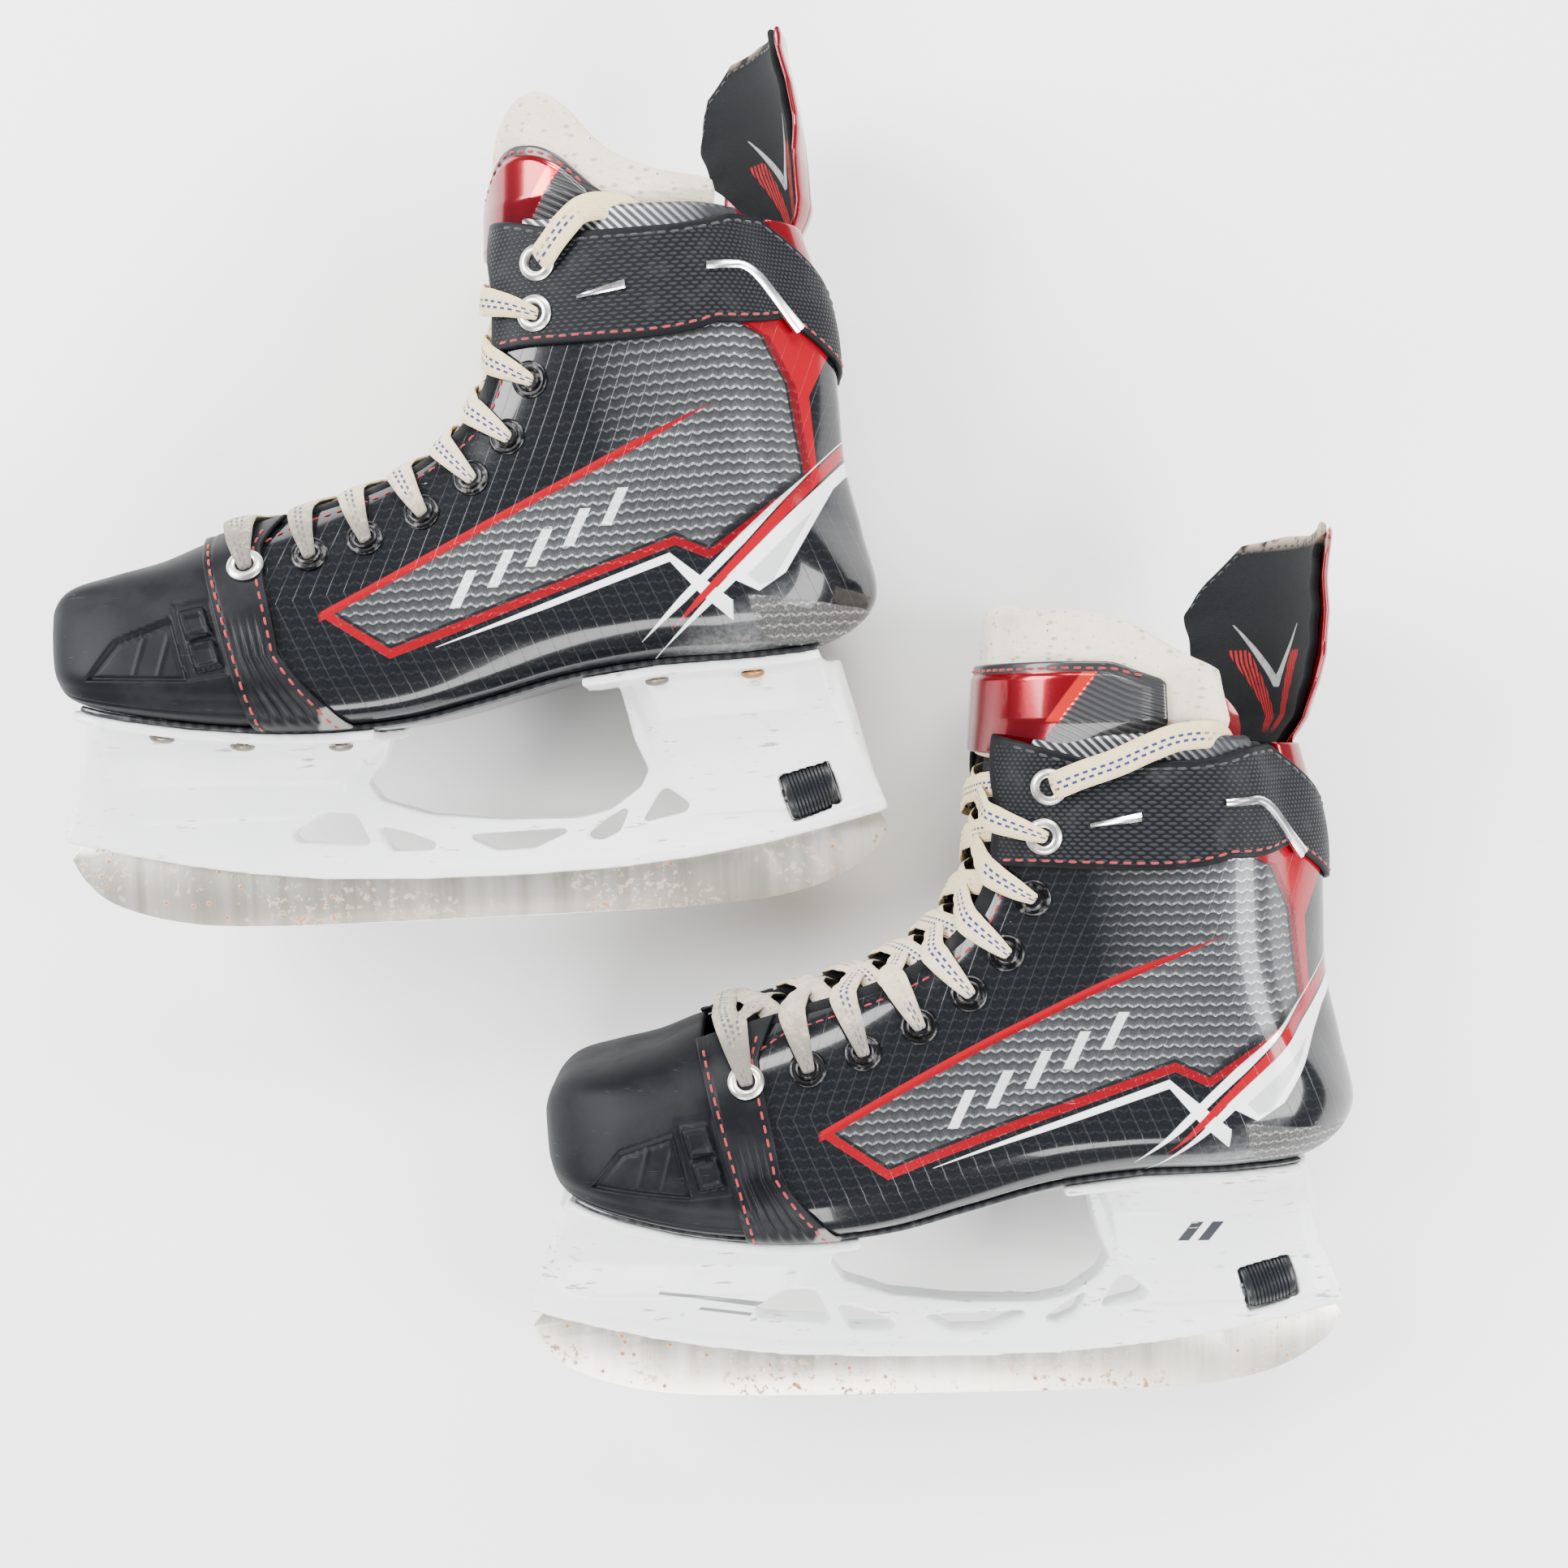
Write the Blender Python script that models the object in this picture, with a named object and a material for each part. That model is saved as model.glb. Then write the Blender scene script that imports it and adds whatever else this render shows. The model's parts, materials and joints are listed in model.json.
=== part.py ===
"""A pair of ice hockey skates, lying on their right sides.

Blender 4.5, metres, +Z up. Each skate is designed in its own frame: x towards the toe, y to the skate's left,
z up from the ice, in millimetres, with the origin at the lowest point of the runner. The right skate is the
mirror image of the left one, apart from its tendon guard, which leans the same way on both.
"""

import math

import bmesh
import bpy
import numpy as np
from mathutils import Matrix, Vector

MM = 0.001

# ---------------------------------------------------------------- driving dimensions, in millimetres
GAP = 0.4  # between pieces that touch
SHELL = 2.4  # thickness of the quarter shell
TOE_CAP = 2.5
LINER = 5.4
FOOTBED = 2.2
STRAP = 1.7  # thickness of the toe straps and the cuff band
OUTSOLE = 1.9
FLANGE = 3.4  # thickness of the holder's mounting flanges
STEEL = 3.0  # thickness of the runner
RAIL_HALF = 5.2  # half the holder's width at the blade
TOWER_HALF = 7.6  # half the rear tower's width at the wheel
EYELET_R = 5.6
EYELET_HOLE_R = 2.9
LACE_R = 1.25
RIVET_HEAD_R = 3.9
RIVET_SHANK_R = 1.9
WHEEL_AT = (-114.7, 40.4)
WHEEL_R = 9.6
WHEEL_LENGTH = 17.5
WHEEL_TILT = math.radians(17)  # the lock screw rises towards the heel
BOLT_R = 2.4
BOLT_REACH = 25.0  # from the wheel's centre forward to the cross pin
PIN_SLACK = 3.2  # how far the pin moves forward when the wheel lets the runner go
TONGUE_HINGE = (-15.0, 236.5)
GUARD_HINGE = (-121.0, 232.5)
GUARD_TWIST = math.radians(20)
GUARD_RIM = {"left": [272, 282, 296, 300, 300, 300, 292], "right": [268, 287, 296, 299, 296, 290, 284]}
FELT_RIM = {"left": ([243, 262, 272, 273, 274], [275, 275.5, 273, 273, 271, 251]),
            "right": ([248, 268, 272, 268, 258], [255, 259, 273, 272.5, 249, 240])}
SHIELD_RIM = {"left": ([241, 250, 255, 255.5, 255], [255, 255.5, 256, 256.5, 256, 241]),
              "right": ([241, 252, 255, 250, 246], [243, 245, 256, 253, 241, 241])}
GUARD_LEAN = {"left": 0.0, "right": math.tan(math.radians(9))}  # the right guard has sagged forward

# ---------------------------------------------------------------- how the pair lies
LYING = {  # where each skate's origin is on the table, its turn there, and which of its directions points up
    "left": ((42.9, -222.9), 0.6, (0.040, 0.9973, 0.061)),
    "right": ((-115.5, -55.5), 2.55, (0.059, 0.9973, 0.044)),
}

# Boot stations from the toe to the cuff. Each line runs from the sole or heel (ax, az) to the throat (bx, bz).
# half: half width, sole: half width at the sole's edge, throat: half width at the throat's edge,
# shift: how far the last turns inwards, full: how square the section is beside the sole.
#    ax     az     bx     bz    half  sole throat shift  full
STATIONS = np.array([
    (134.5, 92.0, 135.5, 100.0, 9.0, 6.0, 6.0, 5.0, 0.96),
    (132.0, 86.0, 134.5, 107.5, 22.0, 16.0, 14.0, 5.0, 0.96),
    (128.0, 82.0, 131.5, 113.5, 32.0, 24.0, 20.0, 4.5, 0.97),
    (120.5, 79.0, 125.0, 118.0, 39.0, 31.0, 25.0, 3.5, 0.98),
    (108.0, 76.0, 112.0, 121.5, 44.0, 35.0, 27.0, 1.5, 0.98),
    (87.5, 72.5, 97.0, 125.5, 46.5, 38.0, 26.0, -0.5, 1.0),
    (66.0, 70.0, 82.5, 131.5, 47.0, 38.0, 23.5, -1.5, 1.0),
    (41.5, 69.3, 65.5, 136.5, 45.5, 36.0, 21.5, -2.0, 1.0),
    (17.5, 71.0, 46.5, 142.0, 43.5, 33.0, 21.0, -1.5, 0.98),
    (-7.0, 76.3, 29.0, 147.0, 41.5, 30.0, 21.5, -0.8, 0.97),
    (-36.0, 83.3, 15.0, 152.5, 41.0, 29.0, 22.5, 0.0, 0.98),
    (-66.0, 87.0, 5.0, 158.5, 41.5, 29.0, 23.5, 0.0, 1.0),
    (-97.0, 88.0, -2.5, 164.5, 42.0, 29.0, 24.5, 0.0, 1.01),
    (-124.0, 91.5, -8.5, 171.5, 42.0, 26.0, 25.0, 0.0, 0.99),
    (-139.5, 105.0, -13.0, 180.0, 42.5, 20.0, 25.5, 0.0, 0.9),
    (-136.0, 128.0, -15.5, 189.0, 43.5, 17.0, 26.0, 0.0, 0.75),
    (-131.0, 151.0, -16.5, 199.0, 44.5, 16.0, 26.0, 0.0, 0.72),
    (-129.5, 175.0, -17.0, 209.5, 44.5, 17.0, 26.0, 0.0, 0.72),
    (-127.5, 200.0, -17.5, 220.5, 44.0, 19.0, 26.0, 0.0, 0.73),
    (-118.5, 228.5, -19.5, 232.5, 44.0, 22.0, 26.0, 0.0, 0.75),
])
LAST = len(STATIONS) - 1.0
TOE_SEAM = 6.12  # station where the toe cap meets the quarter
THROAT = 5.0  # u at the throat's edge; 6 is the middle of the instep

# Eyelets as seen from the side, toe to cuff
EYELETS = [(66.5, 121.5), (46.5, 125.5), (28.5, 130), (10, 138), (-6.5, 148.5), (-19, 161.5), (-27.5, 179.5),
           (-31, 200), (-32.5, 216)]
EYELETS_ON_CUFF = 2  # the last ones, which stand on the cuff band
RUNNER_BOTTOM = [(141.5, 27), (137.5, 19.5), (130, 12), (119, 7), (106, 3.4), (90, 1.2), (60, 0.1), (0, 0),
                 (-60, 0.3), (-90, 1.5), (-106, 3.6), (-119, 7), (-130, 12.5), (-138, 19), (-142.5, 26)]
RAIL_BOTTOM = [(142.5, 33.5), (120, 27.5), (100, 23), (80, 19.5), (55, 16.5), (20, 15), (-15, 14.8), (-47, 15.8),
               (-74, 18.3), (-99, 22), (-123, 27.2), (-142.5, 32)]
BRIDGE_TOP = [(31.5, 57.5), (38, 49.5), (33.5, 43), (17, 37.3), (-8.5, 34.3), (-34, 33.8), (-45, 36), (-56, 43.5),
              (-59, 49.5), (-54.5, 60)]
WINDOWS = [
    [(65.5, 32.5), (53, 39.5), (43, 38.7), (37.3, 27.2), (62.5, 29.4)],
    [(36.3, 34.2), (24.5, 31.2), (15.6, 27.3), (16.6, 24.6), (31.4, 25)],
    [(6.8, 29.5), (-30.7, 30.4), (-29.7, 28.7), (-18, 23.6), (-5, 23.4)],
    [(-35.6, 26.9), (-43.6, 33), (-52.5, 37.8), (-48, 28.2), (-41.5, 25.4)],
    [(-55.5, 30.8), (-63, 42.3), (-65.5, 42.8), (-73, 37), (-71.3, 34)],
]
RIVETS = [(4.45, 0.62), (5.65, 0.62), (6.95, 0.62), (10.9, 0.6), (11.95, 0.6)]  # station and u of each pair
RIVET_NAMES = ["front", "middle", "back", "heel_front", "heel_back"]

COLOURS = {  # base colour, roughness, metallic
    "shell": ((0.012, 0.013, 0.016), 0.18, 0.0),
    "cap": ((0.018, 0.019, 0.022), 0.55, 0.0),
    "strap": ((0.015, 0.016, 0.018), 0.6, 0.0),
    "holder": ((0.86, 0.88, 0.87), 0.35, 0.0),
    "steel": ((0.66, 0.63, 0.58), 0.3, 1.0),
    "felt": ((0.82, 0.76, 0.66), 0.95, 0.0),
    "red": ((0.42, 0.01, 0.015), 0.25, 0.0),
    "fabric": ((0.02, 0.022, 0.025), 0.9, 0.0),
    "lace": ((0.8, 0.74, 0.6), 0.9, 0.0),
    "eyelet": ((0.6, 0.6, 0.6), 0.3, 1.0),
}


# ---------------------------------------------------------------- curves and the boot's form
def smooth(knots, at):
    """Catmull-Rom curve through the knots, read at positions counted in knots."""
    knots = np.asarray(knots, float)
    last = len(knots) - 1
    at = np.clip(np.asarray(at, float), 0, last)
    i = np.minimum(at.astype(int), last - 1)
    f = (at - i)[..., None]
    before = np.where(i[..., None] > 0, knots[np.maximum(i - 1, 0)], 2 * knots[i] - knots[i + 1])
    after = np.where((i + 2 <= last)[..., None], knots[np.minimum(i + 2, last)], 2 * knots[i + 1] - knots[i])
    a, b = knots[i], knots[i + 1]
    return a + 0.5 * f * (b - before + f * (2 * before - 5 * a + 4 * b - after + f * (3 * (a - b) + after - before)))


def boot(t, u):
    """Outer surface of the boot at station t. u runs from 0 under the sole over the left side to 6 on the instep,
    and on to 12; below 0 it runs over the right side."""
    t, u = np.broadcast_arrays(np.asarray(t, float), np.asarray(u, float))
    around = np.where(u > 6, u - 12, u)
    left, k = np.where(around < 0, -1.0, 1.0), np.abs(around)
    ax, az, bx, bz, half, sole, throat, shift, full = np.moveaxis(smooth(STATIONS, t), -1, 0)
    zero = np.zeros_like(half)
    along = np.stack([0.15 + zero, zero, 0.012 + zero, 0.16 + zero, 0.36 + zero, 0.79 + zero, 1 + zero, 1.03 + zero,
                      1 + zero], -1)
    across = np.stack([-sole, zero, sole, full * half, half, 0.85 * half - 0.4, throat, zero, -throat], -1)
    along[..., 0] = 0.012
    knot = np.minimum(k.astype(int), 5)
    f = k - knot
    pick = lambda table, n: np.take_along_axis(table, (knot + n)[..., None], -1)[..., 0]
    curve = []
    for table in (along, across):
        p, a, b, n = (pick(table, step) for step in range(4))
        curve.append(a + 0.5 * f * (b - p + f * (2 * p - 5 * a + 4 * b - n + f * (3 * (a - b) + n - p))))
    s, y = curve
    return np.stack([ax + (bx - ax) * s, left * y - shift, az + (bz - az) * s], -1)


def offset_boot(t, u, out):
    """The boot's surface moved outwards by out millimetres."""
    step = 0.02
    along = boot(np.minimum(t + step, LAST), u) - boot(np.maximum(t - step, 0), u)
    around = boot(t, u + step) - boot(t, u - step)
    normal = np.cross(along, around)
    normal /= np.linalg.norm(normal, axis=-1, keepdims=True)
    return boot(t, u) + normal * np.asarray(out, float)[..., None]


def place_on_boot(x, z, u_low=1.5, u_high=5.4):
    """Station and u of the point of the left side that is seen at (x, z) from the side."""
    t, u = np.meshgrid(np.linspace(0, LAST, 381), np.linspace(u_low, u_high, 157), indexing="ij")
    p = boot(t, u)
    best = np.argmin((p[..., 0] - x) ** 2 + (p[..., 2] - z) ** 2)
    return t.flat[best], u.flat[best]


# ---------------------------------------------------------------- building blocks
class Skate:
    """Makes the pieces of one skate: side is +1 for the left skate and -1 for the mirrored right one."""

    def __init__(self, name, side):
        self.name, self.side = name, side
        self.frame = bpy.data.objects.new(name + "_skate", None)
        PARTS.objects.link(self.frame)

    def pieces(self):
        """World points of each piece of this skate."""
        bpy.context.view_layer.update()
        held = bpy.context.evaluated_depsgraph_get()
        for obj in PARTS.objects:
            if obj.name.startswith(self.name) and obj.type in ("MESH", "CURVE"):
                shape = obj.evaluated_get(held).to_mesh()
                yield [obj.matrix_world @ v.co for v in shape.vertices]

    def mesh(self, piece, points, faces, material, cutter=False):
        """An object from points in millimetres in the left skate's frame."""
        points = np.asarray(points, float) * MM
        points[:, 1] *= self.side
        mesh = bpy.data.meshes.new(piece)
        mesh.from_pydata(points.tolist(), [], [list(map(int, f)) for f in faces])
        form = bmesh.new()
        form.from_mesh(mesh)
        bmesh.ops.remove_doubles(form, verts=form.verts, dist=1e-6)
        bmesh.ops.recalc_face_normals(form, faces=form.faces)
        form.to_mesh(mesh)
        form.free()
        obj = bpy.data.objects.new(f"{self.name}_{piece}", mesh)
        (CUTTERS if cutter else PARTS).objects.link(obj)
        obj.parent = self.frame
        if cutter:
            obj.hide_render, obj.display_type = True, "WIRE"
        else:
            mesh.materials.append(MATERIALS[material])
            mesh.shade_smooth()
            mesh.set_sharp_from_angle(angle=math.radians(35))
        return obj

    def sheet(self, piece, outer, inner, material, ring=False, front_cap=False, cutter=False):
        """A closed plate between two grids of points. ring joins the grid's last column to its first."""
        rows, columns = outer.shape[:2]
        points = np.concatenate([outer.reshape(-1, 3), inner.reshape(-1, 3)])
        size = rows * columns
        at = lambda side, i, j: side * size + i * columns + j % columns
        around = columns if ring else columns - 1
        faces = []
        for i in range(rows - 1):
            for j in range(around):
                for side in (0, 1):
                    faces.append([at(side, i, j), at(side, i + 1, j), at(side, i + 1, j + 1), at(side, i, j + 1)])
        for j in range(around):
            faces.append([at(0, rows - 1, j), at(0, rows - 1, j + 1), at(1, rows - 1, j + 1), at(1, rows - 1, j)])
            if not front_cap:
                faces.append([at(0, 0, j), at(0, 0, j + 1), at(1, 0, j + 1), at(1, 0, j)])
        if front_cap:
            faces.append([at(0, 0, j) for j in range(columns)])
            faces.append([at(1, 0, j) for j in range(columns)])
        if not ring:
            for i in range(rows - 1):
                for j in (0, columns - 1):
                    faces.append([at(0, i, j), at(0, i + 1, j), at(1, i + 1, j), at(1, i, j)])
        return self.mesh(piece, points, faces, material, cutter)

    def layer(self, piece, stations, us, inner, outer, material, **more):
        """A plate that follows the boot between two offsets. stations is an array, or one array for each u."""
        us = np.asarray(us, float)
        t = np.asarray(stations, float)
        t = np.repeat(t[:, None], len(us), 1) if t.ndim == 1 else t
        u = np.broadcast_to(us, t.shape)
        return self.sheet(piece, offset_boot(t, u, outer + 0 * t), offset_boot(t, u, inner + 0 * t), material, **more)

    def prism(self, piece, outline, low, high, material=None):
        """The outline, points (x, z), run across the skate from y = low to y = high."""
        n = len(outline)
        points = [(x, y, z) for y in (low, high) for x, z in outline]
        faces = [list(range(n)), list(range(n, 2 * n))]
        faces += [[i, (i + 1) % n, n + (i + 1) % n, n + i] for i in range(n)]
        return self.mesh(piece, points, faces, material, cutter=material is None)

    def loft(self, piece, rings, material=None):
        """A solid through closed rings of points, all with the same count."""
        n = len(rings[0])
        points = np.concatenate([np.asarray(r, float) for r in rings])
        faces = [list(range(n)), [len(points) - n + i for i in range(n)]]
        for k in range(len(rings) - 1):
            faces += [[k * n + i, k * n + (i + 1) % n, (k + 1) * n + (i + 1) % n, (k + 1) * n + i] for i in range(n)]
        return self.mesh(piece, points, faces, material, cutter=material is None)

    def turned(self, piece, profile, base, axis, material=None, sides=10):
        """A turned solid: profile of (radius, height) along the axis from base, ends closed on the axis."""
        axis = Vector(axis).normalized()
        across = axis.orthogonal().normalized()
        other = axis.cross(across)
        rings = []
        for radius, height in profile:
            centre = Vector(base) + axis * height
            turn = [2 * math.pi * (i + 0.5) / sides for i in range(sides)]
            rings.append([centre + across * radius * math.cos(a) + other * radius * math.sin(a) for a in turn])
        return self.loft(piece, [[tuple(p) for p in ring] for ring in rings], material)


def combine(obj, others, operation):
    """Boolean of obj with each of the others, applied, so that the helpers can go."""
    for other in others:
        step = obj.modifiers.new(operation.lower(), "BOOLEAN")
        step.operation, step.object, step.solver = operation, other, "EXACT"
    bpy.context.view_layer.update()
    made = bpy.data.meshes.new_from_object(obj.evaluated_get(bpy.context.evaluated_depsgraph_get()))
    obj.modifiers.clear()
    old, obj.data = obj.data, made
    bpy.data.meshes.remove(old)
    for other in others:
        bpy.data.objects.remove(other)
    return obj


def material(name):
    colour, roughness, metallic = COLOURS[name]
    made = bpy.data.materials.new(name)
    made.use_nodes = True
    shader = made.node_tree.nodes["Principled BSDF"]
    shader.inputs["Base Color"].default_value = (*colour, 1)
    shader.inputs["Roughness"].default_value = roughness
    shader.inputs["Metallic"].default_value = metallic
    return made


def between(start, end, count):
    """Arrays of stations, one row for each step from start(u) to end(u)."""
    start, end = np.asarray(start, float), np.asarray(end, float)
    return start + (end - start) * np.linspace(0, 1, count)[:, None]


# ---------------------------------------------------------------- boot
SIDE_US = np.array([0, 0.5, 1, 1.5, 2, 2.8, 3.6, 4.3, 5.0])
SOLE_STATIONS = [2.7, 3.3, 4, 5, 6, 6.6, 7, 7.5, 8, 9, 10, 11, 12, 12.6, 12.8]
AROUND = np.concatenate([-SIDE_US[:0:-1], SIDE_US])
CUFF_TOP = ([0, 0.5, 1, 1.6, 2, 2.6, 3.2, 3.9, 4.5, 5], [18.0, 18.15, 18.45, 18.8, 19, 18.95, 18.75, 18.6, 18.85, 19])
CUFF_BOTTOM = ([0, 1, 2, 3, 4, 5], [17.2, 17.35, 17.7, 17.3, 16.05, 15.0])
STRAP_REAR = ([1, 2, 3, 4.3, 5], [7.25, 7.0, 6.75, 7.02, 7.5])


def cuff_top(u):
    return np.interp(np.abs(u), *CUFF_TOP)


def build_boot(skate):
    stations = np.array([TOE_SEAM + 0.02, 6.6, 7, 7.5, 8, 9, 10, 11, 12, 12.6, 13, 13.5, 14, 15, 16, 17, 18])
    shell = np.concatenate([np.repeat(stations[:, None], len(AROUND), 1), (cuff_top(AROUND) - 0.12)[None]])
    shell[-2] = np.minimum(shell[-2], shell[-1] - 0.2)
    skate.layer("quarter_shell", shell, AROUND, -SHELL, 0.0, "shell")

    ring = np.concatenate([SIDE_US, [5.5, 6, -5.5], -SIDE_US[:0:-1]])
    skate.layer("toe_cap", [0, 1, 2, 3, 4, 5, TOE_SEAM - 0.02], ring, -TOE_CAP, 0.0, "cap", ring=True,
                front_cap=True)

    strap_us = SIDE_US[2:]
    for side, label in ((1, "lateral"), (-1, "medial")):
        rear = np.interp(strap_us, *STRAP_REAR)
        skate.layer(f"toe_strap_{label}", between(6.0 + 0 * rear, rear, 4), side * strap_us, GAP + 0.2,
                    GAP + STRAP, "strap")

    bottom = np.interp(np.abs(AROUND), *CUFF_BOTTOM)
    skate.layer("cuff_band", between(bottom, cuff_top(AROUND), 4), AROUND, GAP, GAP + STRAP, "strap")

    sole_us = [-0.95, -0.5, 0, 0.5, 0.95]
    outsole = skate.layer("outsole", SOLE_STATIONS, sole_us, GAP, GAP + OUTSOLE, "cap")
    liner_us = np.concatenate([-SIDE_US[6:0:-1], SIDE_US[:7]])
    top = -(TOE_CAP + GAP)
    skate.layer("liner", [3.9, 5, 6, 7, 8, 9, 10, 11, 12, 12.6, 13, 13.5, 14, 15, 16, 17, 18, 18.95], liner_us,
                top - LINER, top, "fabric")
    skate.layer("footbed", [4, 5, 6, 7, 8, 9, 10, 11, 12, 12.4], [-0.86, -0.4, 0, 0.4, 0.86],
                top - LINER - GAP - FOOTBED, top - LINER - GAP, "fabric")
    return outsole


def build_tongue(skate):
    over = [4.3, 5, 5.5, 6, 6.5, 7, 7.7]
    skate.layer("tongue_lower", [6.4, 7, 8, 9, 10, 11, 12, 13, 14, 15, 16, 17, 18, 18.6], over, -9.2, -3.8, "felt")

    plan = [(0, 0), (-1.6, 12), (-8, 24), (-20, 31.5), (-38, 34), (-62, 34.5)]  # back from the front edge, left

    def wrap(reach, low, tops, thick, steps):
        q = np.linspace(-reach, reach, 13)
        flat = smooth(plan, np.abs(q))
        along = smooth(plan, np.abs(q) + 0.02) - smooth(plan, np.abs(q) - 0.02)
        along[np.abs(q) < 0.02] = (0, 1)
        out = np.stack([along[:, 1], -along[:, 0]], -1)
        out /= np.linalg.norm(out, axis=1, keepdims=True)
        high = np.interp(q * skate.side, range(-5, 6), [*tops[0], *tops[1]])
        grids = []
        for depth in thick:
            grid = np.empty((steps, len(q), 3))
            for row, share in enumerate(np.linspace(0, 1, steps)):
                z = low + (high - low) * share
                lean = 0.06 * (z - low)
                grid[row, :, 0] = -18 + flat[:, 0] + out[:, 0] * depth - lean
                grid[row, :, 1] = (flat[:, 1] + out[:, 1] * depth) * np.where(q < 0, -1, 1)
                grid[row, :, 2] = z
            grids.append(grid)
        return grids

    low = TONGUE_HINGE[1] + 0.8
    inner, outer = wrap(5, low, FELT_RIM[skate.name], (0, 6), 4)
    skate.sheet("tongue_upper", outer, inner, "felt")
    inner, outer = wrap(3.9, low + 0.6, SHIELD_RIM[skate.name], (6.3 + GAP, 6.3 + GAP + 1.6), 4)
    skate.sheet("tongue_shield", outer, inner, "red")


def build_tendon_guard(skate):
    """A shallow bowl behind the heel tendon. The guard is twisted a little, as the upper edge is free."""
    chord = np.linspace(-1, 1, 9)
    twist = GUARD_TWIST * skate.side

    def shape(cover, depth, steps, low, drop):
        across_seat = [-1, -0.8, -0.5, 0, 0.5, 0.85, 1]
        rim = np.interp(chord * cover * skate.side, across_seat, GUARD_RIM[skate.name]) - drop
        grid = np.empty((steps, len(chord), 3))
        for row, share in enumerate(np.linspace(0, 1, steps)):
            z = low + (rim - low) * share
            half = cover * np.interp(z, [237, 255, 280, 305], [25, 32, 37, 36])
            sag = np.interp(z, [237, 280, 305], [12, 15, 15])
            back = np.interp(z, [237, 260, 283, 305], [-122, -122, -121.5, -123])
            across = chord * half
            bowl = sag * (chord * cover) ** 2 + depth
            back += (z - low) * GUARD_LEAN[skate.name]
            grid[row, :, 0] = back + bowl * math.cos(twist) - across * math.sin(twist)
            grid[row, :, 1] = across * math.cos(twist) + bowl * math.sin(twist)
            grid[row, :, 2] = z
        return grid

    low = GUARD_HINGE[1] + 1.2
    skate.sheet("tendon_guard", shape(0.96, -1.2, 5, low, 3), shape(0.96, 1.2, 5, low, 3), "red")
    skate.sheet("tendon_pad", shape(1, 1.2 + GAP, 5, low, 0), shape(1, 5.4 + GAP, 5, low, 0), "fabric")


def build_laces_and_eyelets(skate):
    spots = [place_on_boot(x, z) for x, z in EYELETS]
    above = [GAP + STRAP if n == 0 or n >= len(spots) - EYELETS_ON_CUFF else 0.0 for n in range(len(spots))]
    for side, label in ((1, "lateral"), (-1, "medial")):
        stay_t = np.array([t for t, _ in spots])
        stay_u = np.array([u for _, u in spots])
        lift = np.array(above) + GAP
        steps = np.array([0, 0.45, 0.55, 1, 2, 3, 4, 5, 6, 6.28, 6.4, 7, 8])
        line_t, line_u = smooth(stay_t[:, None], steps)[:, 0], smooth(stay_u[:, None], steps)[:, 0]
        heights = [lift[0], lift[0], lift[1], lift[1], lift[7], lift[7]]
        raised = np.interp(steps, [0, 0.45, 0.55, 6.28, 6.4, 8], heights)
        width = 0.11
        t = np.stack([line_t, line_t], 1)
        u = side * np.stack([line_u - width, line_u + width], 1)
        low = offset_boot(t, u, np.stack([raised, raised], 1))
        high = offset_boot(t, u, np.stack([raised, raised], 1) + 0.7)
        row = skate.sheet(f"eyelets_{label}", high, low, "eyelet")
        rings = []
        wall = [(EYELET_R, 0.0), (EYELET_R - 0.4, 1.3)]
        for n, (t, u) in enumerate(spots):
            at = offset_boot(np.array(t), np.array(side * u), np.array(lift[n]))
            up = offset_boot(np.array(t), np.array(side * u), np.array(lift[n] + 1)) - at
            rings.append(skate.turned("ring", wall, at, up, sides=8))
        combine(row, rings, "UNION")
        drills = []
        for n, (t, u) in enumerate(spots):
            at = offset_boot(np.array(t), np.array(side * u), np.array(lift[n] - 0.25))
            up = offset_boot(np.array(t), np.array(side * u), np.array(lift[n] + 1)) - at
            drills.append(skate.turned("drill", [(EYELET_HOLE_R, 0.0), (EYELET_HOLE_R, 5.0)], at, up, sides=6))
        combine(row, drills, "DIFFERENCE")

    # One lace: a bar across the lowest eyelets, then each half crosses from side to side up to the cuff.
    def stop(n, side, lift):
        t, u = spots[n]
        return offset_boot(np.array(t), np.array(side * u), np.array(above[n] + lift))

    def edge(n, side, lift):
        t, u = spots[n]
        return offset_boot(np.array(t + 0.1), np.array(side * (THROAT - 0.12)), np.array(above[n] + lift))

    def middle(n, high):
        t = spots[n][0] + 0.35
        return offset_boot(np.array(min(t, LAST)), np.array(6.0), np.array(1.4 + high))

    path = []
    for side in (-1, 1):
        half = []
        for n in range(len(spots)):
            here = side if n % 2 == 0 else -side
            half.append([edge(n, here, 3.8), stop(n, here, 4.0), edge(n, here, 6.8)])
        run = [half[0][0], half[0][1], half[0][2]]
        for n in range(1, len(spots)):
            run += [middle(n - 1, 3.4 if side > 0 else 0.6)]
            run += half[n] if n < len(spots) - 1 else half[n][:2]
        path.append(run)
    whole = path[0][::-1] + [middle(0, -0.2) - np.array([3.0, 0, 0])] + path[1]
    curve = bpy.data.curves.new("lace", "CURVE")
    curve.dimensions, curve.bevel_depth, curve.bevel_resolution = "3D", LACE_R * MM, 1
    curve.use_fill_caps = True
    spline = curve.splines.new("POLY")
    spline.points.add(len(whole) - 1)
    for point, place in zip(spline.points, whole):
        point.co = (place[0] * MM, place[1] * MM * skate.side, place[2] * MM, 1)
    lace = bpy.data.objects.new(f"{skate.name}_lace", curve)
    curve.materials.append(MATERIALS["lace"])
    PARTS.objects.link(lace)
    lace.parent = skate.frame


# ---------------------------------------------------------------- holder and runner
def wheel_line(forward):
    """Point on the lock screw's axis, so many millimetres forward of the wheel's centre."""
    return (WHEEL_AT[0] + forward * math.cos(WHEEL_TILT), 0.0, WHEEL_AT[1] - forward * math.sin(WHEEL_TILT))


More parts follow.
